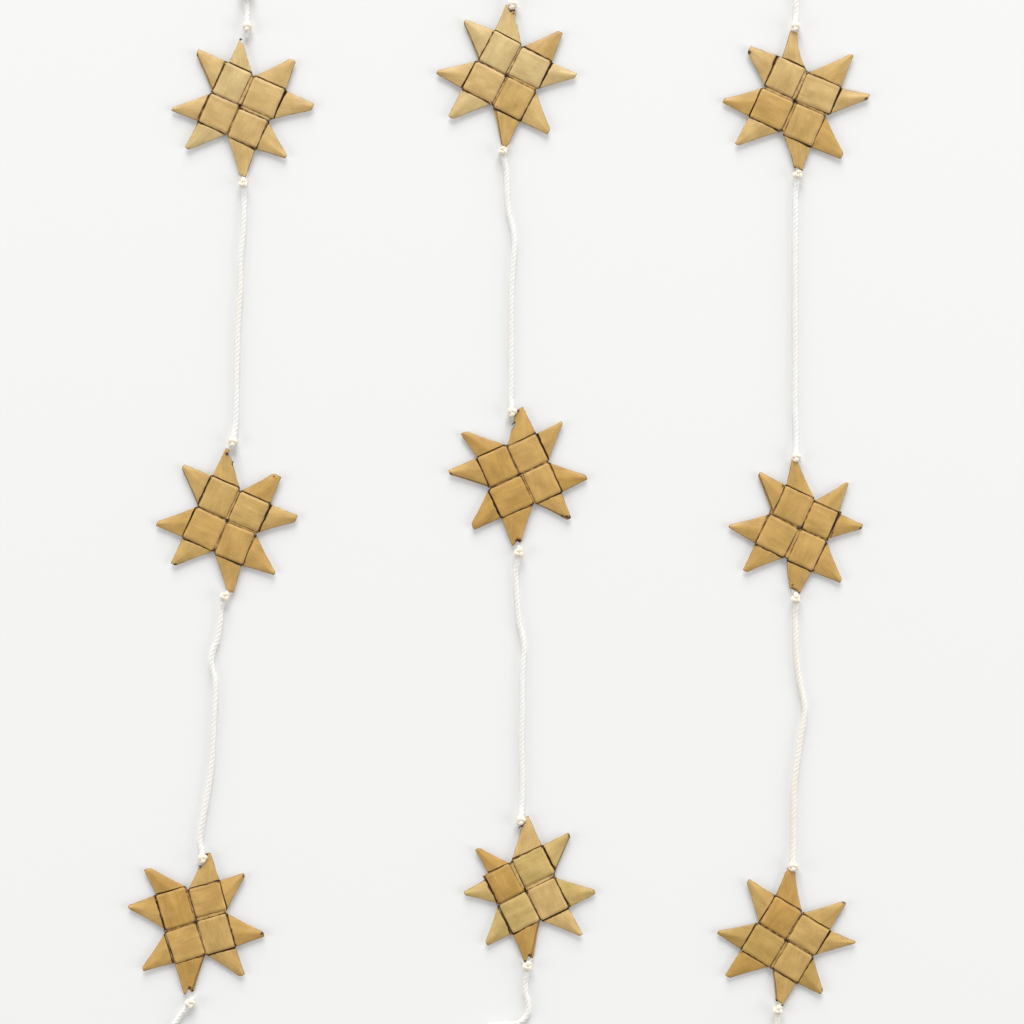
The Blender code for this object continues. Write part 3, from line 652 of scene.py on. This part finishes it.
def add_curl(leaf, spot, heading, length):
    """A narrow scrap of leaf that curls away from a tip, from a place in the strip's own frame."""
    ways = np.linspace(0.0, 1.0, 7)
    angles = math.radians(heading) + 1.1 * ways
    xs = spot[0] + np.concatenate(([0.0], np.cumsum(np.cos(angles[1:])))) * length / 6
    ys = spot[1] + np.concatenate(([0.0], np.cumsum(np.sin(angles[1:])))) * length / 6
    half = 0.30 * (1 - 0.6 * ways)
    x = np.stack((xs - half * np.sin(angles), xs + half * np.sin(angles)), axis=1)
    y = np.stack((ys + half * np.cos(angles), ys - half * np.cos(angles)), axis=1)
    z = np.full_like(x, MIDDLE + 0.5)
    over, under = np.dstack((x, y, z)), np.dstack((x, y, z - CURL_THICKNESS))
    leaf.add_sheet(over, under, np.dstack((x, y)), np.full_like(x, 0.85))


def point_rows(length):
    """Distances beyond the body's side at which a point has a row, close together at the tucked base."""
    start = [-1.3, -0.5, -0.1, 0.08, 0.2, 0.34, 0.5, 0.7, 1.0]
    count = max(6, int((length - 1.0) / POINT_STEP))
    return np.array(start + list(np.linspace(1.0, length, count + 1))[1:])


class FoldedPoint:
    """A folded point in its strip's frame, from its base between an outer and an inner corner to its tip.

    rows holds how far beyond the body's side each point of its grid is, and shares how far across a layer.
    """

    def __init__(self, leaf, key, outer, inner, tip, width, groove, seed):
        self.leaf, self.groove, self.seed = leaf, groove, seed
        self.outer, self.inner = outer, inner
        self.tip, self.width = np.array(tip), width
        self.length = abs(tip[1] - outer[1])
        self.facing = math.copysign(1.0, tip[1] - outer[1])
        self.end = ENDS.get(key, PLAIN_END)
        self.bite = BITES.get(key, NO_BITE)
        self.bow = BOWS.get(key, BOW)
        self.layered = LAYERED.get(key)
        self.crest_at = 0.44 + 0.07 * noise.noise(Vector((seed, 1.7, 0.3)))
        self.tip_lift = 0.25 * noise.noise(Vector((seed, 4.1, 2.3)))
        self.gap_lean = 1.6 * noise.noise(Vector((seed, 8.3, 6.1)))
        shares = crowded_shares(POINT_COLUMNS, 0.6)
        self.rows, self.shares = np.meshgrid(point_rows(self.length), shares, indexing="ij")
        self.gone = np.clip(self.rows / self.length, 0.0, 1.0)

    def span(self, gone):
        """The point's width at a share of its length."""
        return abs(self.inner[0] - self.outer[0]) * (1 - gone) + self.width * gone

    def plan(self, low, high, cut_more):
        """A layer's points on the ground plan, with their shares of the whole width and length."""
        start, stop, depth = self.bite
        rise = smooth_step((self.rows - start) / BITE_SLOPE)
        fall = fade((self.rows - start - BITE_SLOPE) / max(stop - start - BITE_SLOPE, 0.3))
        bitten = np.maximum(high(self.gone) - depth * rise * fall / self.span(self.gone), 0.25)
        across = low(self.gone) + (bitten - low(self.gone)) * self.shares
        cut = np.interp(across, *zip(*self.end)) * cut_more
        along = np.where(self.rows > 0, self.gone * (1 - cut / self.length), 0.0)
        half_tip = np.array((self.width / 2, 0.0))
        base = self.outer + (self.inner - self.outer) * across[..., None]
        far = self.tip - half_tip + 2 * half_tip * across[..., None]
        flat = base + (far - base) * along[..., None]
        # The slanted edge bows in a little, and the hidden stretch runs straight in under the square
        flat[..., 0] -= 4 * along * (1 - along) * (self.bow * across ** 2 - 0.08 * (1 - across) ** 2)
        rough = 0.09 * wobble(self.rows, 0 * self.rows, self.seed + 11.0, (0.9, 1.0))
        rough = rough * smooth_step(along * 1.5)
        flat[..., 0] += rough * np.where(across > 0.5, across, -(1 - across)) * 1.2
        flat[..., 1] += np.where(self.rows < 0, self.rows * self.facing, 0.0)
        return flat, across, along

    def half_height(self, across, along, rounding):
        """Half the thickness: a crest between two slopes, rounded off at both sides and at the end."""
        slope_width = np.where(across < self.crest_at, self.crest_at, 1 - self.crest_at)
        away = np.abs(across - self.crest_at) / slope_width
        crest = 1 - 0.82 * np.sqrt(away ** 2 + 0.01) ** 1.3
        ridge = BASE_RIDGE * (1 - along) ** 0.8 + TIP_RIDGE * along
        from_end = np.clip((self.length - self.rows) / 0.5, 0.0, 1.0)
        end_rounding = 0.45 + 0.55 * np.sqrt(1 - (1 - from_end) ** 2)
        return ridge * np.clip(crest, 0.12, 1.0) * rounding * end_rounding

    def fibre_grain(self, flat):
        """Places across and along the fibres, which run from the base to the tip."""
        lean = (self.outer + self.inner) / 2 - self.tip
        lean = lean / np.hypot(*lean)
        x, y = flat[..., 0], flat[..., 1]
        return np.dstack((x * lean[1] - y * lean[0], x * lean[0] + y * lean[1]))

    def browning_and_shade(self, flat, side, gap, shows_layer):
        """How brown the leaf is: dark in the gap as painted shade, patchy along its edges and a little at
        its end.
        """
        patchy = 0.65 + 0.6 * wobble(flat[..., 0], flat[..., 1], self.seed + 17.0, (1.4, 1.4))
        rim = patchy * fade(side / 0.32)
        # A front layer that stops short gets a dark edge, painted shade over the step down to the layer
        # under it
        if shows_layer:
            rim = np.maximum(rim, fade((1 - self.shares) * self.span(self.gone) / 0.45))
        # Painted shade in the gap where the point tucks under its square
        tucked = fade((self.rows - gap * 0.55) / (gap * 0.9))
        return np.maximum(np.maximum(tucked, rim), 0.55 * fade((self.length - self.rows) / 0.6))

    def add_layer(self, low, high, fullness, lift, thin=0.0, cut_more=1.0):
        """One layer between two shares of the width, which are functions of the share of the length.

        fullness is its share of the point's height. A thin layer is a sheet that thick, others are full.
        """
        flat, across, along = self.plan(low, high, cut_more)
        side = np.minimum(self.shares, 1 - self.shares) * np.maximum(self.span(self.gone), 0.5)
        rounding = np.sqrt(np.clip(1 - (1 - np.clip(side / 0.35, 0.0, 1.0)) ** 2, 0.03, 1.0))
        height = self.half_height(across, along, rounding) * fullness
        puff = 0.07 * wobble(flat[..., 0], flat[..., 1], self.seed, (2.2, 6.0))
        middle = MIDDLE - 0.05 + self.tip_lift * along ** 2 + lift
        # The gap under the square's edge is wider at one end and wavers
        waver = 0.45 * wobble(flat[..., 0], 0 * self.shares, self.seed + 23.0, (1.7, 1.0))
        gap = self.groove * (1 + self.gap_lean * (self.shares - 0.5) + waver)
        in_front = fullness == 1.0
        dip = GROOVE_DEPTH * fade((self.rows - gap * 0.3) / gap) if in_front else 0.0
        upper = middle + height + puff * smooth_step(side / 0.8) - dip
        lower = upper - thin * (0.6 + 0.4 * rounding) if thin else middle - height
        upper = np.maximum(upper, lower + 0.08)
        wear_and_shade = self.browning_and_shade(flat, side, gap, in_front and self.layered)
        self.leaf.add_sheet(np.dstack((flat, upper)), np.dstack((flat, lower)), self.fibre_grain(flat), wear_and_shade)

    def add_layers(self, corded):
        """Adds its layers: two where the front one stops short, three that gape for the cord, or one."""
        none, whole = np.zeros_like, np.ones_like
        if self.layered:
            at_base, at_tip = self.layered

            def short(gone):
                return 1 - (at_base * (1 - gone) + at_tip * gone) / self.span(gone)

            self.add_layer(none, short, 1.0, 0.06)
            self.add_layer(lambda gone: short(gone) - 0.25, whole, 0.35, -0.42, cut_more=0.8)
        elif corded:
            self.add_layer(none, whole, 1.0, 0.10, thin=0.34)
            self.add_layer(none, whole, -0.55, -0.15, thin=0.34, cut_more=0.55)
            self.add_layer(none, lambda gone: 1 - 0.3 * gone, 0.7, -0.12, cut_more=2.4)
        else:
            self.add_layer(none, whole, 1.0, 0.0)


def square_from(square, quarter):
    """A square's edges and turn, seen in the frame of the strip that is that many quarter turns round."""
    left, right, low, high, turn = square
    corners = turned_back((left, low), quarter), turned_back((right, high), quarter)
    near, far = np.minimum(*corners), np.maximum(*corners)
    return near[0], far[0], near[1], far[1], turn


def build_star(name, materials):
    """The four strips of one star, each with its own object."""
    weave = WEAVES[name]
    star = STARS[name]
    place = star_place(name)
    number = int(name[-1])
    corded_points = {"top_left", "bottom_right"} if star.turn < 0 else {"top_right", "bottom_left"}
    for quarter, strip in enumerate(STRIPS):
        seed = number * 10.0 + quarter * 2.0
        marks = [(*turned_back(mark[:2], quarter), mark[2]) for mark in MARKS[name]]
        leaf = LeafMesh(seed, marks)
        own = square_from(weave.squares[quarter], quarter)
        beyond = square_from(weave.squares[(quarter + 1) % 4], quarter)
        add_leaf(leaf, own, STAR_THICKNESS + 0.02, 1, seed)
        add_leaf(leaf, (-STRIP_WIDTH, -0.2, 0.2, STRIP_WIDTH, 0.0), STAR_THICKNESS - 0.15, -1, seed + 0.7)
        add_tongue(leaf, own, beyond)
        if not quarter:
            add_core(leaf)
        for which, point in enumerate(POINTS[quarter]):
            x, y, width = weave.tips[point]
            tip = turned_back((x, y), quarter)
            square = beyond if which else own
            edge = square[2] if which else square[3]
            inset = INSETS.get((name, point), 0.0)
            outer = np.array((square[0] + inset, edge))
            inner = np.array((square[1], edge))
            groove = OTHER_GROOVES.get(name, {}).get(point, GROOVES[point])
            point_seed = seed + 20.0 * which + 0.37
            folded = FoldedPoint(leaf, (name, point), outer, inner, tip, width, groove, point_seed)
            folded.add_layers(point in corded_points)
        if (name, strip) in CURLS:
            add_curl(leaf, *CURLS[name, strip])
        turn_round = Matrix.Rotation(quarter * math.pi / 2, 4, "Z")
        piece = leaf.to_object(f"{name}_{strip}_leaf", place @ turn_round, materials[TONES[name][quarter]])
        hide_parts(f"{name}_{strip}")
        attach(piece, "root")


def inner_edge(beyond):
    """Where the slanted edge of a regular left point is, at a distance beyond the body's side."""
    share = beyond / POINT_REACH
    return -LAYER_GAP / 2 * (1 - share) + (-STRIP_WIDTH + TIP_WIDTH) * share


def nearest_on_point(spot):
    """The nearest place on the outline of a regular left upper point, beyond the body's side."""
    corners = [
        Vector((inner_edge(0.0), STRIP_WIDTH)),
        Vector((inner_edge(POINT_REACH), STRIP_WIDTH + POINT_REACH)),
        Vector((-STRIP_WIDTH, STRIP_WIDTH + POINT_REACH)),
    ]
    found = None
    for start, end in zip(corners, corners[1:]):
        along = (spot - start).dot(end - start) / (end - start).length_squared
        candidate = start.lerp(end, min(max(along, 0.0), 1.0))
        if found is None or (spot - candidate).length < (spot - found).length:
            found = candidate
    return found


def knot_places(end):
    """The knot's middle and the spot where the cord meets the tip, both on the ground plan."""
    name, which = end.split()
    star = STARS[name]
    inward, beyond = star.upper if which == "upper" else star.lower
    knot = Vector((-STRIP_WIDTH + TIP_WIDTH / 2 + inward, STRIP_WIDTH + POINT_REACH + beyond))
    meets = nearest_on_point(knot)
    meets = meets + (knot - meets).normalized() * TIP_GAP
    if (star.turn > 0) == (which == "upper"):
        knot, meets = Vector((-knot.x, knot.y)), Vector((-meets.x, meets.y))
    if which == "lower":
        knot, meets = Vector((knot.x, -knot.y)), Vector((meets.x, -meets.y))
    place = star_place(name)
    return (place @ knot.to_3d()).xy, (place @ meets.to_3d()).xy


def drawn_knot(end, toward):
    """The knot's middle as drawn, and the spot by the leaf's tip where its cord starts, on the ground plan.

    toward is where the cord goes on to. Inside the knot it bends only a little.
    """
    name, which = end.split()
    slants_left = (STARS[name].turn < 0) == (which == "upper")
    side = "left" if slants_left else "right"
    tip_x, tip_y, _ = WEAVES[name].tips[("top_" if which == "upper" else "bottom_") + side]
    place = star_place(name)
    knot = knot_places(end)[0]
    if end in DRAWN_KNOTS:
        knot = (place @ Vector((*DRAWN_KNOTS[end], 0.0))).xy
    tip = (place @ Vector((tip_x, tip_y, 0.0))).xy
    onward = (toward - knot).normalized()
    back = ((tip - knot).normalized() * TIP_PULL - onward).normalized()
    reach = max((tip - knot).dot(back) - TIP_GAP, KNOT_ENTRY)
    return knot, knot + back * reach


def between(a, b, c, d, share):
    """A place on a Catmull-Rom curve between b and c."""
    return 0.5 * (
        2 * b
        + (c - a) * share
        + (2 * a - 5 * b + 4 * c - d) * share ** 2
        + (3 * b - a - 3 * c + d) * share ** 3
    )


def smooth_way(points, step):
    """Points about one step apart on a smooth curve through the given points."""
    padded = [2 * points[0] - points[1], *points, 2 * points[-1] - points[-2]]
    fine = []
    pieces = 16
    for a, b, c, d in zip(padded, padded[1:], padded[2:], padded[3:]):
        fine += [between(a, b, c, d, i / pieces) for i in range(pieces)]
    fine.append(points[-1])
    lengths = np.concatenate(([0.0], np.cumsum([(b - a).length for a, b in zip(fine, fine[1:])])))
    count = max(2, round(lengths[-1] / step))
    wanted = np.linspace(0.0, lengths[-1], count + 1)
    columns = [np.interp(wanted, lengths, [point[axis] for point in fine]) for axis in range(3)]
    return [Vector(point) for point in zip(*columns)]


def way_length(way):
    return sum((b - a).length for a, b in zip(way, way[1:]))


def strand_tube(way, radius, closed, tapers, sides=CORD_SIDES, yellowed=0.0):
    """Points and faces of a twisted cord: a tube whose section has three lobes that turn along the way.

    Each point knows how far out on a strand it lies, and how much handled cotton there is.
    """
    count = len(way)
    points, faces, spin = [], [], []
    last = count if closed else count - 1
    tangent = (way[1] - way[0]).normalized()
    side = tangent.cross(Vector((0.0, 0.0, 1.0)))
    side = side.normalized() if side.length > 0.1 else tangent.orthogonal().normalized()
    gone = 0.0
    total = way_length(way)
    for i, place in enumerate(way):
        before = way[i - 1] if i or closed else place
        after = way[(i + 1) % count] if i < count - 1 or closed else place
        tangent = (after - before).normalized()
        side = (side - tangent * side.dot(tangent)).normalized()
        other = tangent.cross(side)
        if i:
            gone += (place - way[i - 1]).length
        thickness = 1.0 + 0.05 * noise.noise(Vector((gone / 4.0, radius, place.x * 0.01)))
        if tapers[0]:
            thickness *= TAPER_START + (1 - TAPER_START) * float(smooth_step(gone / TAPER_LENGTH))
        if tapers[1]:
            thickness *= TAPER_START + (1 - TAPER_START) * float(smooth_step((total - gone) / TAPER_LENGTH))
        for j in range(sides):
            angle = 2 * math.pi * j / sides
            lobe = abs(math.sin(STRANDS / 2 * (angle - 2 * math.pi * gone / TWIST_LENGTH)))
            reach = radius * thickness * (1 - STRAND_DEPTH * (1 - lobe) ** 1.5)
            points.append(place + (side * math.cos(angle) + other * math.sin(angle)) * reach)
            spin.append((lobe, yellowed, 0.0))
    for i in range(last):
        for j in range(sides):
            a, b = i * sides + j, i * sides + (j + 1) % sides
            next_ring = (i + 1) % count * sides
            faces.append((a, b, next_ring + (j + 1) % sides, next_ring + j))
    if not closed:
        faces.append(tuple(range(sides)))
        faces.append(tuple((count - 1) * sides + j for j in range(sides)))
    return points, faces, spin


def cord_object(name, tubes, material):
    """One object from the points and faces of one or more tubes."""
    points, faces, spin = [], [], []
    for tube_points, tube_faces, tube_spin in tubes:
        start = len(points)
        points += [point * MM for point in tube_points]
        faces += [tuple(index + start for index in face) for face in tube_faces]
        spin += tube_spin
    mesh = bpy.data.meshes.new(name)
    mesh.from_pydata(points, [], faces)
    strand = mesh.attributes.new("strand", "FLOAT_VECTOR", "POINT")
    strand.data.foreach_set("vector", np.array(spin, np.float32).ravel())
    finish_mesh(mesh, material)
    thing = add_object(name, mesh)
    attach(thing, "root")
    return thing


def knot_object(name, middle, diameter, toward, material):
    """An overhand knot pulled tight, flattened a little on the floor."""
    strand = diameter * KNOT_STRAND
    scale = (diameter / 2 - strand) / 3.0
    turned = Matrix.Rotation(math.atan2(toward.y, toward.x), 3, "Z")
    way = []
    for i in range(KNOT_POINTS):
        u = 2 * math.pi * i / KNOT_POINTS
        flat = Vector((math.sin(u) + 2 * math.sin(2 * u), math.cos(u) - 2 * math.cos(2 * u), 0.0)) * scale
        flat.z = -math.sin(3 * u) * diameter * KNOT_STRAND
        flat.x *= 1.12
        way.append(middle + turned @ flat)
    tubes = [strand_tube(way, strand, True, (False, False), yellowed=1.0)]
    # A few loose threads stick out of the knot, most of them back towards the star
    chance = random.Random(name)
    for _ in range(LOOSE_THREADS):
        angle = math.atan2(toward.y, toward.x) + math.pi + chance.uniform(-1.3, 1.3)
        bend = chance.uniform(-0.9, 0.9)
        reach = chance.uniform(1.2, 2.4)
        place = Vector(middle)
        thread = [place.copy()]
        for step in range(THREAD_POINTS):
            heading = angle + bend * step / THREAD_POINTS
            onward = Vector((math.cos(heading), math.sin(heading), -0.1))
            place += onward * (diameter / 2 + reach) / THREAD_POINTS
            thread.append(place.copy())
        tubes.append(strand_tube(thread, THREAD_RADIUS, False, (False, True), 6, YELLOWED_THREADS))
    return cord_object(name, tubes, material)


def floor_point(place):
    return Vector((*place, CORD_DIAMETER / 2 + FLOOR_GAP))


def knot_start(end, at_floor):
    """The places from a star's tip to where the cord settles on the floor, and the knot's middle."""
    knot, meets = drawn_knot(end, at_floor.xy)
    knot_height = KNOT_DIAMETER / 2 + FLOOR_GAP
    start = Vector((*meets, MIDDLE))
    middle = Vector((*knot, knot_height))
    toward = at_floor - middle
    leaves = middle + toward.normalized() * (KNOT_DIAMETER / 2 + KNOT_ENTRY)
    leaves.z = (knot_height + at_floor.z) / 2
    return [start, middle, leaves], middle


def declare_cord(name, way, far_end, material):
    """The twisted cord along a way, drawn in place of its solid, which is hidden."""
    tapers = (True, far_end == "object")
    tube = strand_tube(way, CORD_DIAMETER / 2, False, tapers, yellowed=YELLOWED_CORDS.get(name, 0.0))
    cord = cord_object(f"{name}_twist", [tube], material)
    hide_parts(name)


def build_run(name, first, last, shares, material):
    """The cord from one star's tip to the next one's, with a knot at each."""
    start, end = knot_places(first)[0], knot_places(last)[0]
    left = Vector((start.y - end.y, end.x - start.x)).normalized()
    lying = [floor_point(start + (end - start) * share + left * aside) for share, aside in shares]
    first_part, first_knot = knot_start(first, lying[0])
    last_part, last_knot = knot_start(last, lying[-1])
    way = smooth_way([*first_part, *lying, *last_part[::-1]], RING_STEP)
    knots = [
        knot_object(f"{name}_first_knot", first_knot, KNOT_DIAMETER, lying[0] - first_knot, material),
        knot_object(f"{name}_last_knot", last_knot, KNOT_DIAMETER, lying[-1] - last_knot, material),
    ]
    declare_cord(name, way, "object", material)


def loop_way(knot, toward):
    """A drop-shaped loop that leaves a knot and comes back into it, along a direction."""
    across = Vector((-toward.y, toward.x, 0.0))
    entry = CORD_DIAMETER / 2 + LAYER_GAP
    # Shares of the loop's length and of half its width, out along one side and back along the other
    shape = [(0.05, 0.24), (0.25, 0.62), (0.5, 0.95), (0.75, 0.95), (0.93, 0.6)]
    sides = [(toward * LOOP_LENGTH * far, across * max(LOOP_WIDTH / 2 * wide, entry)) for far, wide in shape]
    out = [knot + on + aside for on, aside in sides]
    home = [knot + on - aside for on, aside in sides[::-1]]
    return out + [knot + toward * LOOP_LENGTH] + home


def build_free_end(name, end, angle, stretch, material):
    """The cord from a star's tip to its free end, tied in a small hanging loop."""
    start = knot_places(end)[0]
    flat = Vector((math.cos(math.radians(angle)), math.sin(math.radians(angle))))
    toward = Vector((*flat, 0.0))
    lying = floor_point(start + flat * stretch / 2)
    first_part, first_knot = knot_start(end, lying)
    loop_base = floor_point(start + flat * stretch)
    loop_knot = Vector((*loop_base.xy, LOOP_KNOT_DIAMETER / 2 + FLOOR_GAP))
    way = smooth_way([*first_part, lying, *loop_way(loop_base, toward)], RING_STEP)
    knots = [
        knot_object(f"{name}_first_knot", first_knot, KNOT_DIAMETER, toward, material),
        knot_object(f"{name}_loop_knot", loop_knot, LOOP_KNOT_DIAMETER, toward, material),
    ]
    declare_cord(name, way, "knot", material)


class Look:
    """A material, with the few kinds of node that leaf, cotton and floor need."""

    def __init__(self, name, roughness, specular):
        self.material = bpy.data.materials.new(name)
        self.material.use_nodes = True
        self.nodes = self.material.node_tree.nodes
        self.shader = self.nodes["Principled BSDF"].inputs
        self.put(self.shader["Roughness"], roughness)
        self.put(self.shader["Specular IOR Level"], specular)

    def put(self, socket, value):
        """Links a socket to another one, or sets it to a number, a vector or a colour."""
        if isinstance(value, bpy.types.NodeSocket):
            self.material.node_tree.links.new(value, socket)
        else:
            socket.default_value = (*value, 1.0) if socket.type == "RGBA" else value

    def attribute(self, name):
        node = self.nodes.new("ShaderNodeAttribute")
        node.attribute_name = name
        return node.outputs

    def noise(self, vector, scale, detail, roughness=0.55):
        """A noise texture over a vector that is first scaled by its own factors."""
        mapping = self.nodes.new("ShaderNodeMapping")
        self.put(mapping.inputs["Scale"], scale)
        self.put(mapping.inputs["Vector"], vector)
        texture = self.nodes.new("ShaderNodeTexNoise")
        self.put(texture.inputs["Scale"], 1.0)
        self.put(texture.inputs["Detail"], detail)
        self.put(texture.inputs["Roughness"], roughness)
        self.put(texture.inputs["Vector"], mapping.outputs["Vector"])
        return texture.outputs["Fac"]

    def ramp(self, value, low, high):
        """Stretches a value between two limits to 0 and 1."""
        node = self.nodes.new("ShaderNodeMapRange")
        self.put(node.inputs["From Min"], low)
        self.put(node.inputs["From Max"], high)
        self.put(node.inputs["Value"], value)
        return node.outputs["Result"]

    def math(self, operation, *values):
        node = self.nodes.new("ShaderNodeMath")
        node.operation = operation
        for socket, value in zip(node.inputs, values):
            self.put(socket, value)
        return node.outputs["Value"]

    def mix(self, factor, first, second):
        """A colour between two, by a factor from 0 to 1."""
        node = self.nodes.new("ShaderNodeMix")
        node.data_type = "RGBA"
        colours = [socket for socket in node.inputs if socket.type == "RGBA"]
        for socket, value in zip((node.inputs[0], *colours), (factor, first, second)):
            self.put(socket, value)
        return [socket for socket in node.outputs if socket.type == "RGBA"][0]

    def bump(self, height, strength, distance):
        node = self.nodes.new("ShaderNodeBump")
        self.put(node.inputs["Strength"], strength)
        self.put(node.inputs["Distance"], distance)
        self.put(node.inputs["Height"], height)
        self.put(self.shader["Normal"], node.outputs["Normal"])


def palm_leaf(tone):
    """Dried palm leaf: fine lengthwise fibres, soft blotches, brown rubbed edges, painted shade in its gaps
    and folds, and a waxy satin shine.
    """
    look = Look(f"palm_leaf_{tone}", 0.46, 0.38)
    grain = look.attribute("grain")["Vector"]
    wear_and_shade = look.attribute("wear_and_shade")["Fac"]
    fibres = look.noise(grain, (3.4, 0.16, 1.0), 3.0, 0.6)
    threads = look.noise(grain, (9.0, 0.5, 1.0), 2.0)
    bands = look.noise(grain, (0.5, 0.05, 1.0), 2.0)
    blotches = look.noise(grain, (0.22, 0.14, 1.0), 3.0)
    fine = look.noise(grain, (3.0, 2.2, 1.0), 3.0)
    # How much each noise pales the leaf, and the limits between which it does so
    paling = 0.0
    for texture, share, low, high in (
        (fibres, 0.22, 0.34, 0.66),
        (bands, 0.16, 0.36, 0.64),
        (blotches, 0.34, 0.36, 0.64),
        (fine, 0.28, 0.34, 0.66),
    ):
        paling = look.math("ADD", look.math("MULTIPLY", look.ramp(texture, low, high), share), paling)
    colour = look.mix(paling, *TONE_COLOURS[tone])
    # Thin darker threads, then the brown of rubbed and cut edges, and the painted shade in gaps, grooves and
    # folds
    colour = look.mix(look.math("MULTIPLY", look.ramp(threads, 0.60, 0.72), 0.34), colour, THREAD_BROWN)
    browning_and_shade = look.math("MULTIPLY_ADD", look.ramp(fine, 0.25, 0.75), 0.35, wear_and_shade)
    colour = look.mix(look.ramp(browning_and_shade, 0.35, 0.85), colour, WORN_AND_SHADED_BROWN)
    colour = look.mix(look.ramp(browning_and_shade, 0.80, 1.2), colour, DEEP_BROWN_AND_SHADE)
    look.put(look.shader["Base Color"], colour)
    look.put(look.shader["Roughness"], look.math("MULTIPLY_ADD", fibres, 0.22, 0.36))
    look.bump(look.math("ADD", look.math("MULTIPLY", threads, 0.4), fibres), 0.35, 0.05 * MM)
    return look.material


def cotton_cord():
    """Cream cotton: matt, a little yellower here and there, with fine fibres and painted shade in its
    grooves.
    """
    look = Look("cotton_cord", 0.88, 0.2)
    look.put(look.shader["Sheen Weight"], 0.25)
    look.put(look.shader["Sheen Roughness"], 0.5)
    place = look.nodes.new("ShaderNodeTexCoord").outputs["Object"]
    strand = look.nodes.new("ShaderNodeSeparateXYZ")
    look.put(strand.inputs["Vector"], look.attribute("strand")["Vector"])
    stretch = look.noise(place, (22.0, 22.0, 22.0), 2.0)
    fuzz = look.noise(place, (2600.0, 2600.0, 2600.0), 3.0)
    colour = look.mix(look.ramp(stretch, 0.42, 0.66), CREAM, YELLOWER_CREAM)
    # Painted shade in the grooves between the strands
    groove_shade = look.ramp(strand.outputs["X"], 0.45, 0.0)
    colour = look.mix(look.math("MULTIPLY", groove_shade, 0.42), colour, STRAND_GROOVE_SHADE)
    colour = look.mix(look.math("MULTIPLY", strand.outputs["Y"], 0.60), colour, HANDLED_COTTON)
    colour = look.mix(look.math("MULTIPLY", look.ramp(fuzz, 0.35, 0.65), 0.16), colour, FIBRE_WHITE)
    look.put(look.shader["Base Color"], colour)
    look.bump(fuzz, 0.5, 0.08 * MM)
    return look.material


def build_floor():
    """A plain pale floor under the garland."""
    look = Look("pale_floor", 0.9, 0.1)
    look.put(look.shader["Base Color"], FLOOR_GREY)
    look.put(look.shader["Emission Color"], (1.0, 1.0, 0.995))
    look.put(look.shader["Emission Strength"], FLOOR_GLOW)
    mesh = bpy.data.meshes.new("floor")
    corners = [(x * FLOOR_HALF, y * FLOOR_HALF, 0.0) for x, y in ((-1, -1), (1, -1), (1, 1), (-1, 1))]
    mesh.from_pydata(corners, [], [(0, 1, 2, 3)])
    mesh.materials.append(look.material)
    floor = add_object("floor", mesh)


def light_scene():
    """Soft lights beyond the top and both sides, and an even pale surround."""
    scene = bpy.context.scene
    scene.view_settings.view_transform = "Standard"
    scene.world = bpy.data.worlds.new("surround")
    scene.world.use_nodes = True
    background = scene.world.node_tree.nodes["Background"]
    background.inputs["Color"].default_value = (1.0, 1.0, 1.0, 1.0)
    background.inputs["Strength"].default_value = SURROUND_STRENGTH
    for name, (place, side, power) in LIGHTS.items():
        light = bpy.data.lights.new(name, "AREA")
        light.shape = "SQUARE"
        light.size = side
        light.energy = power
        thing = add_object(name, light)
        thing.location = place
        thing.rotation_euler = (-Vector(place)).to_track_quat("-Z", "Y").to_euler()


def add_camera():
    """The camera straight above, with the picture's sides as in the photograph."""
    camera = bpy.data.cameras.new("camera")
    camera.sensor_width = SENSOR_WIDTH
    camera.lens = SENSOR_WIDTH * (CAMERA_HEIGHT - MIDDLE) / (PHOTO_PIXELS * MM_PER_PIXEL)
    thing = add_object("camera", camera)
    thing.location = Vector((*VIEW_MIDDLE, CAMERA_HEIGHT)) * MM
    bpy.context.scene.camera = thing


def main():
    add_camera()
    cotton = cotton_cord()
    for name, run in RUNS.items():
        build_run(name, *run, cotton)
    for name, free_end in FREE_ENDS.items():
        build_free_end(name, *free_end, cotton)
    leaves = {tone: palm_leaf(tone) for tone in TONE_COLOURS}
    for name in STARS:
        build_star(name, leaves)
    build_floor()
    light_scene()
    bpy.context.view_layer.update()


main()
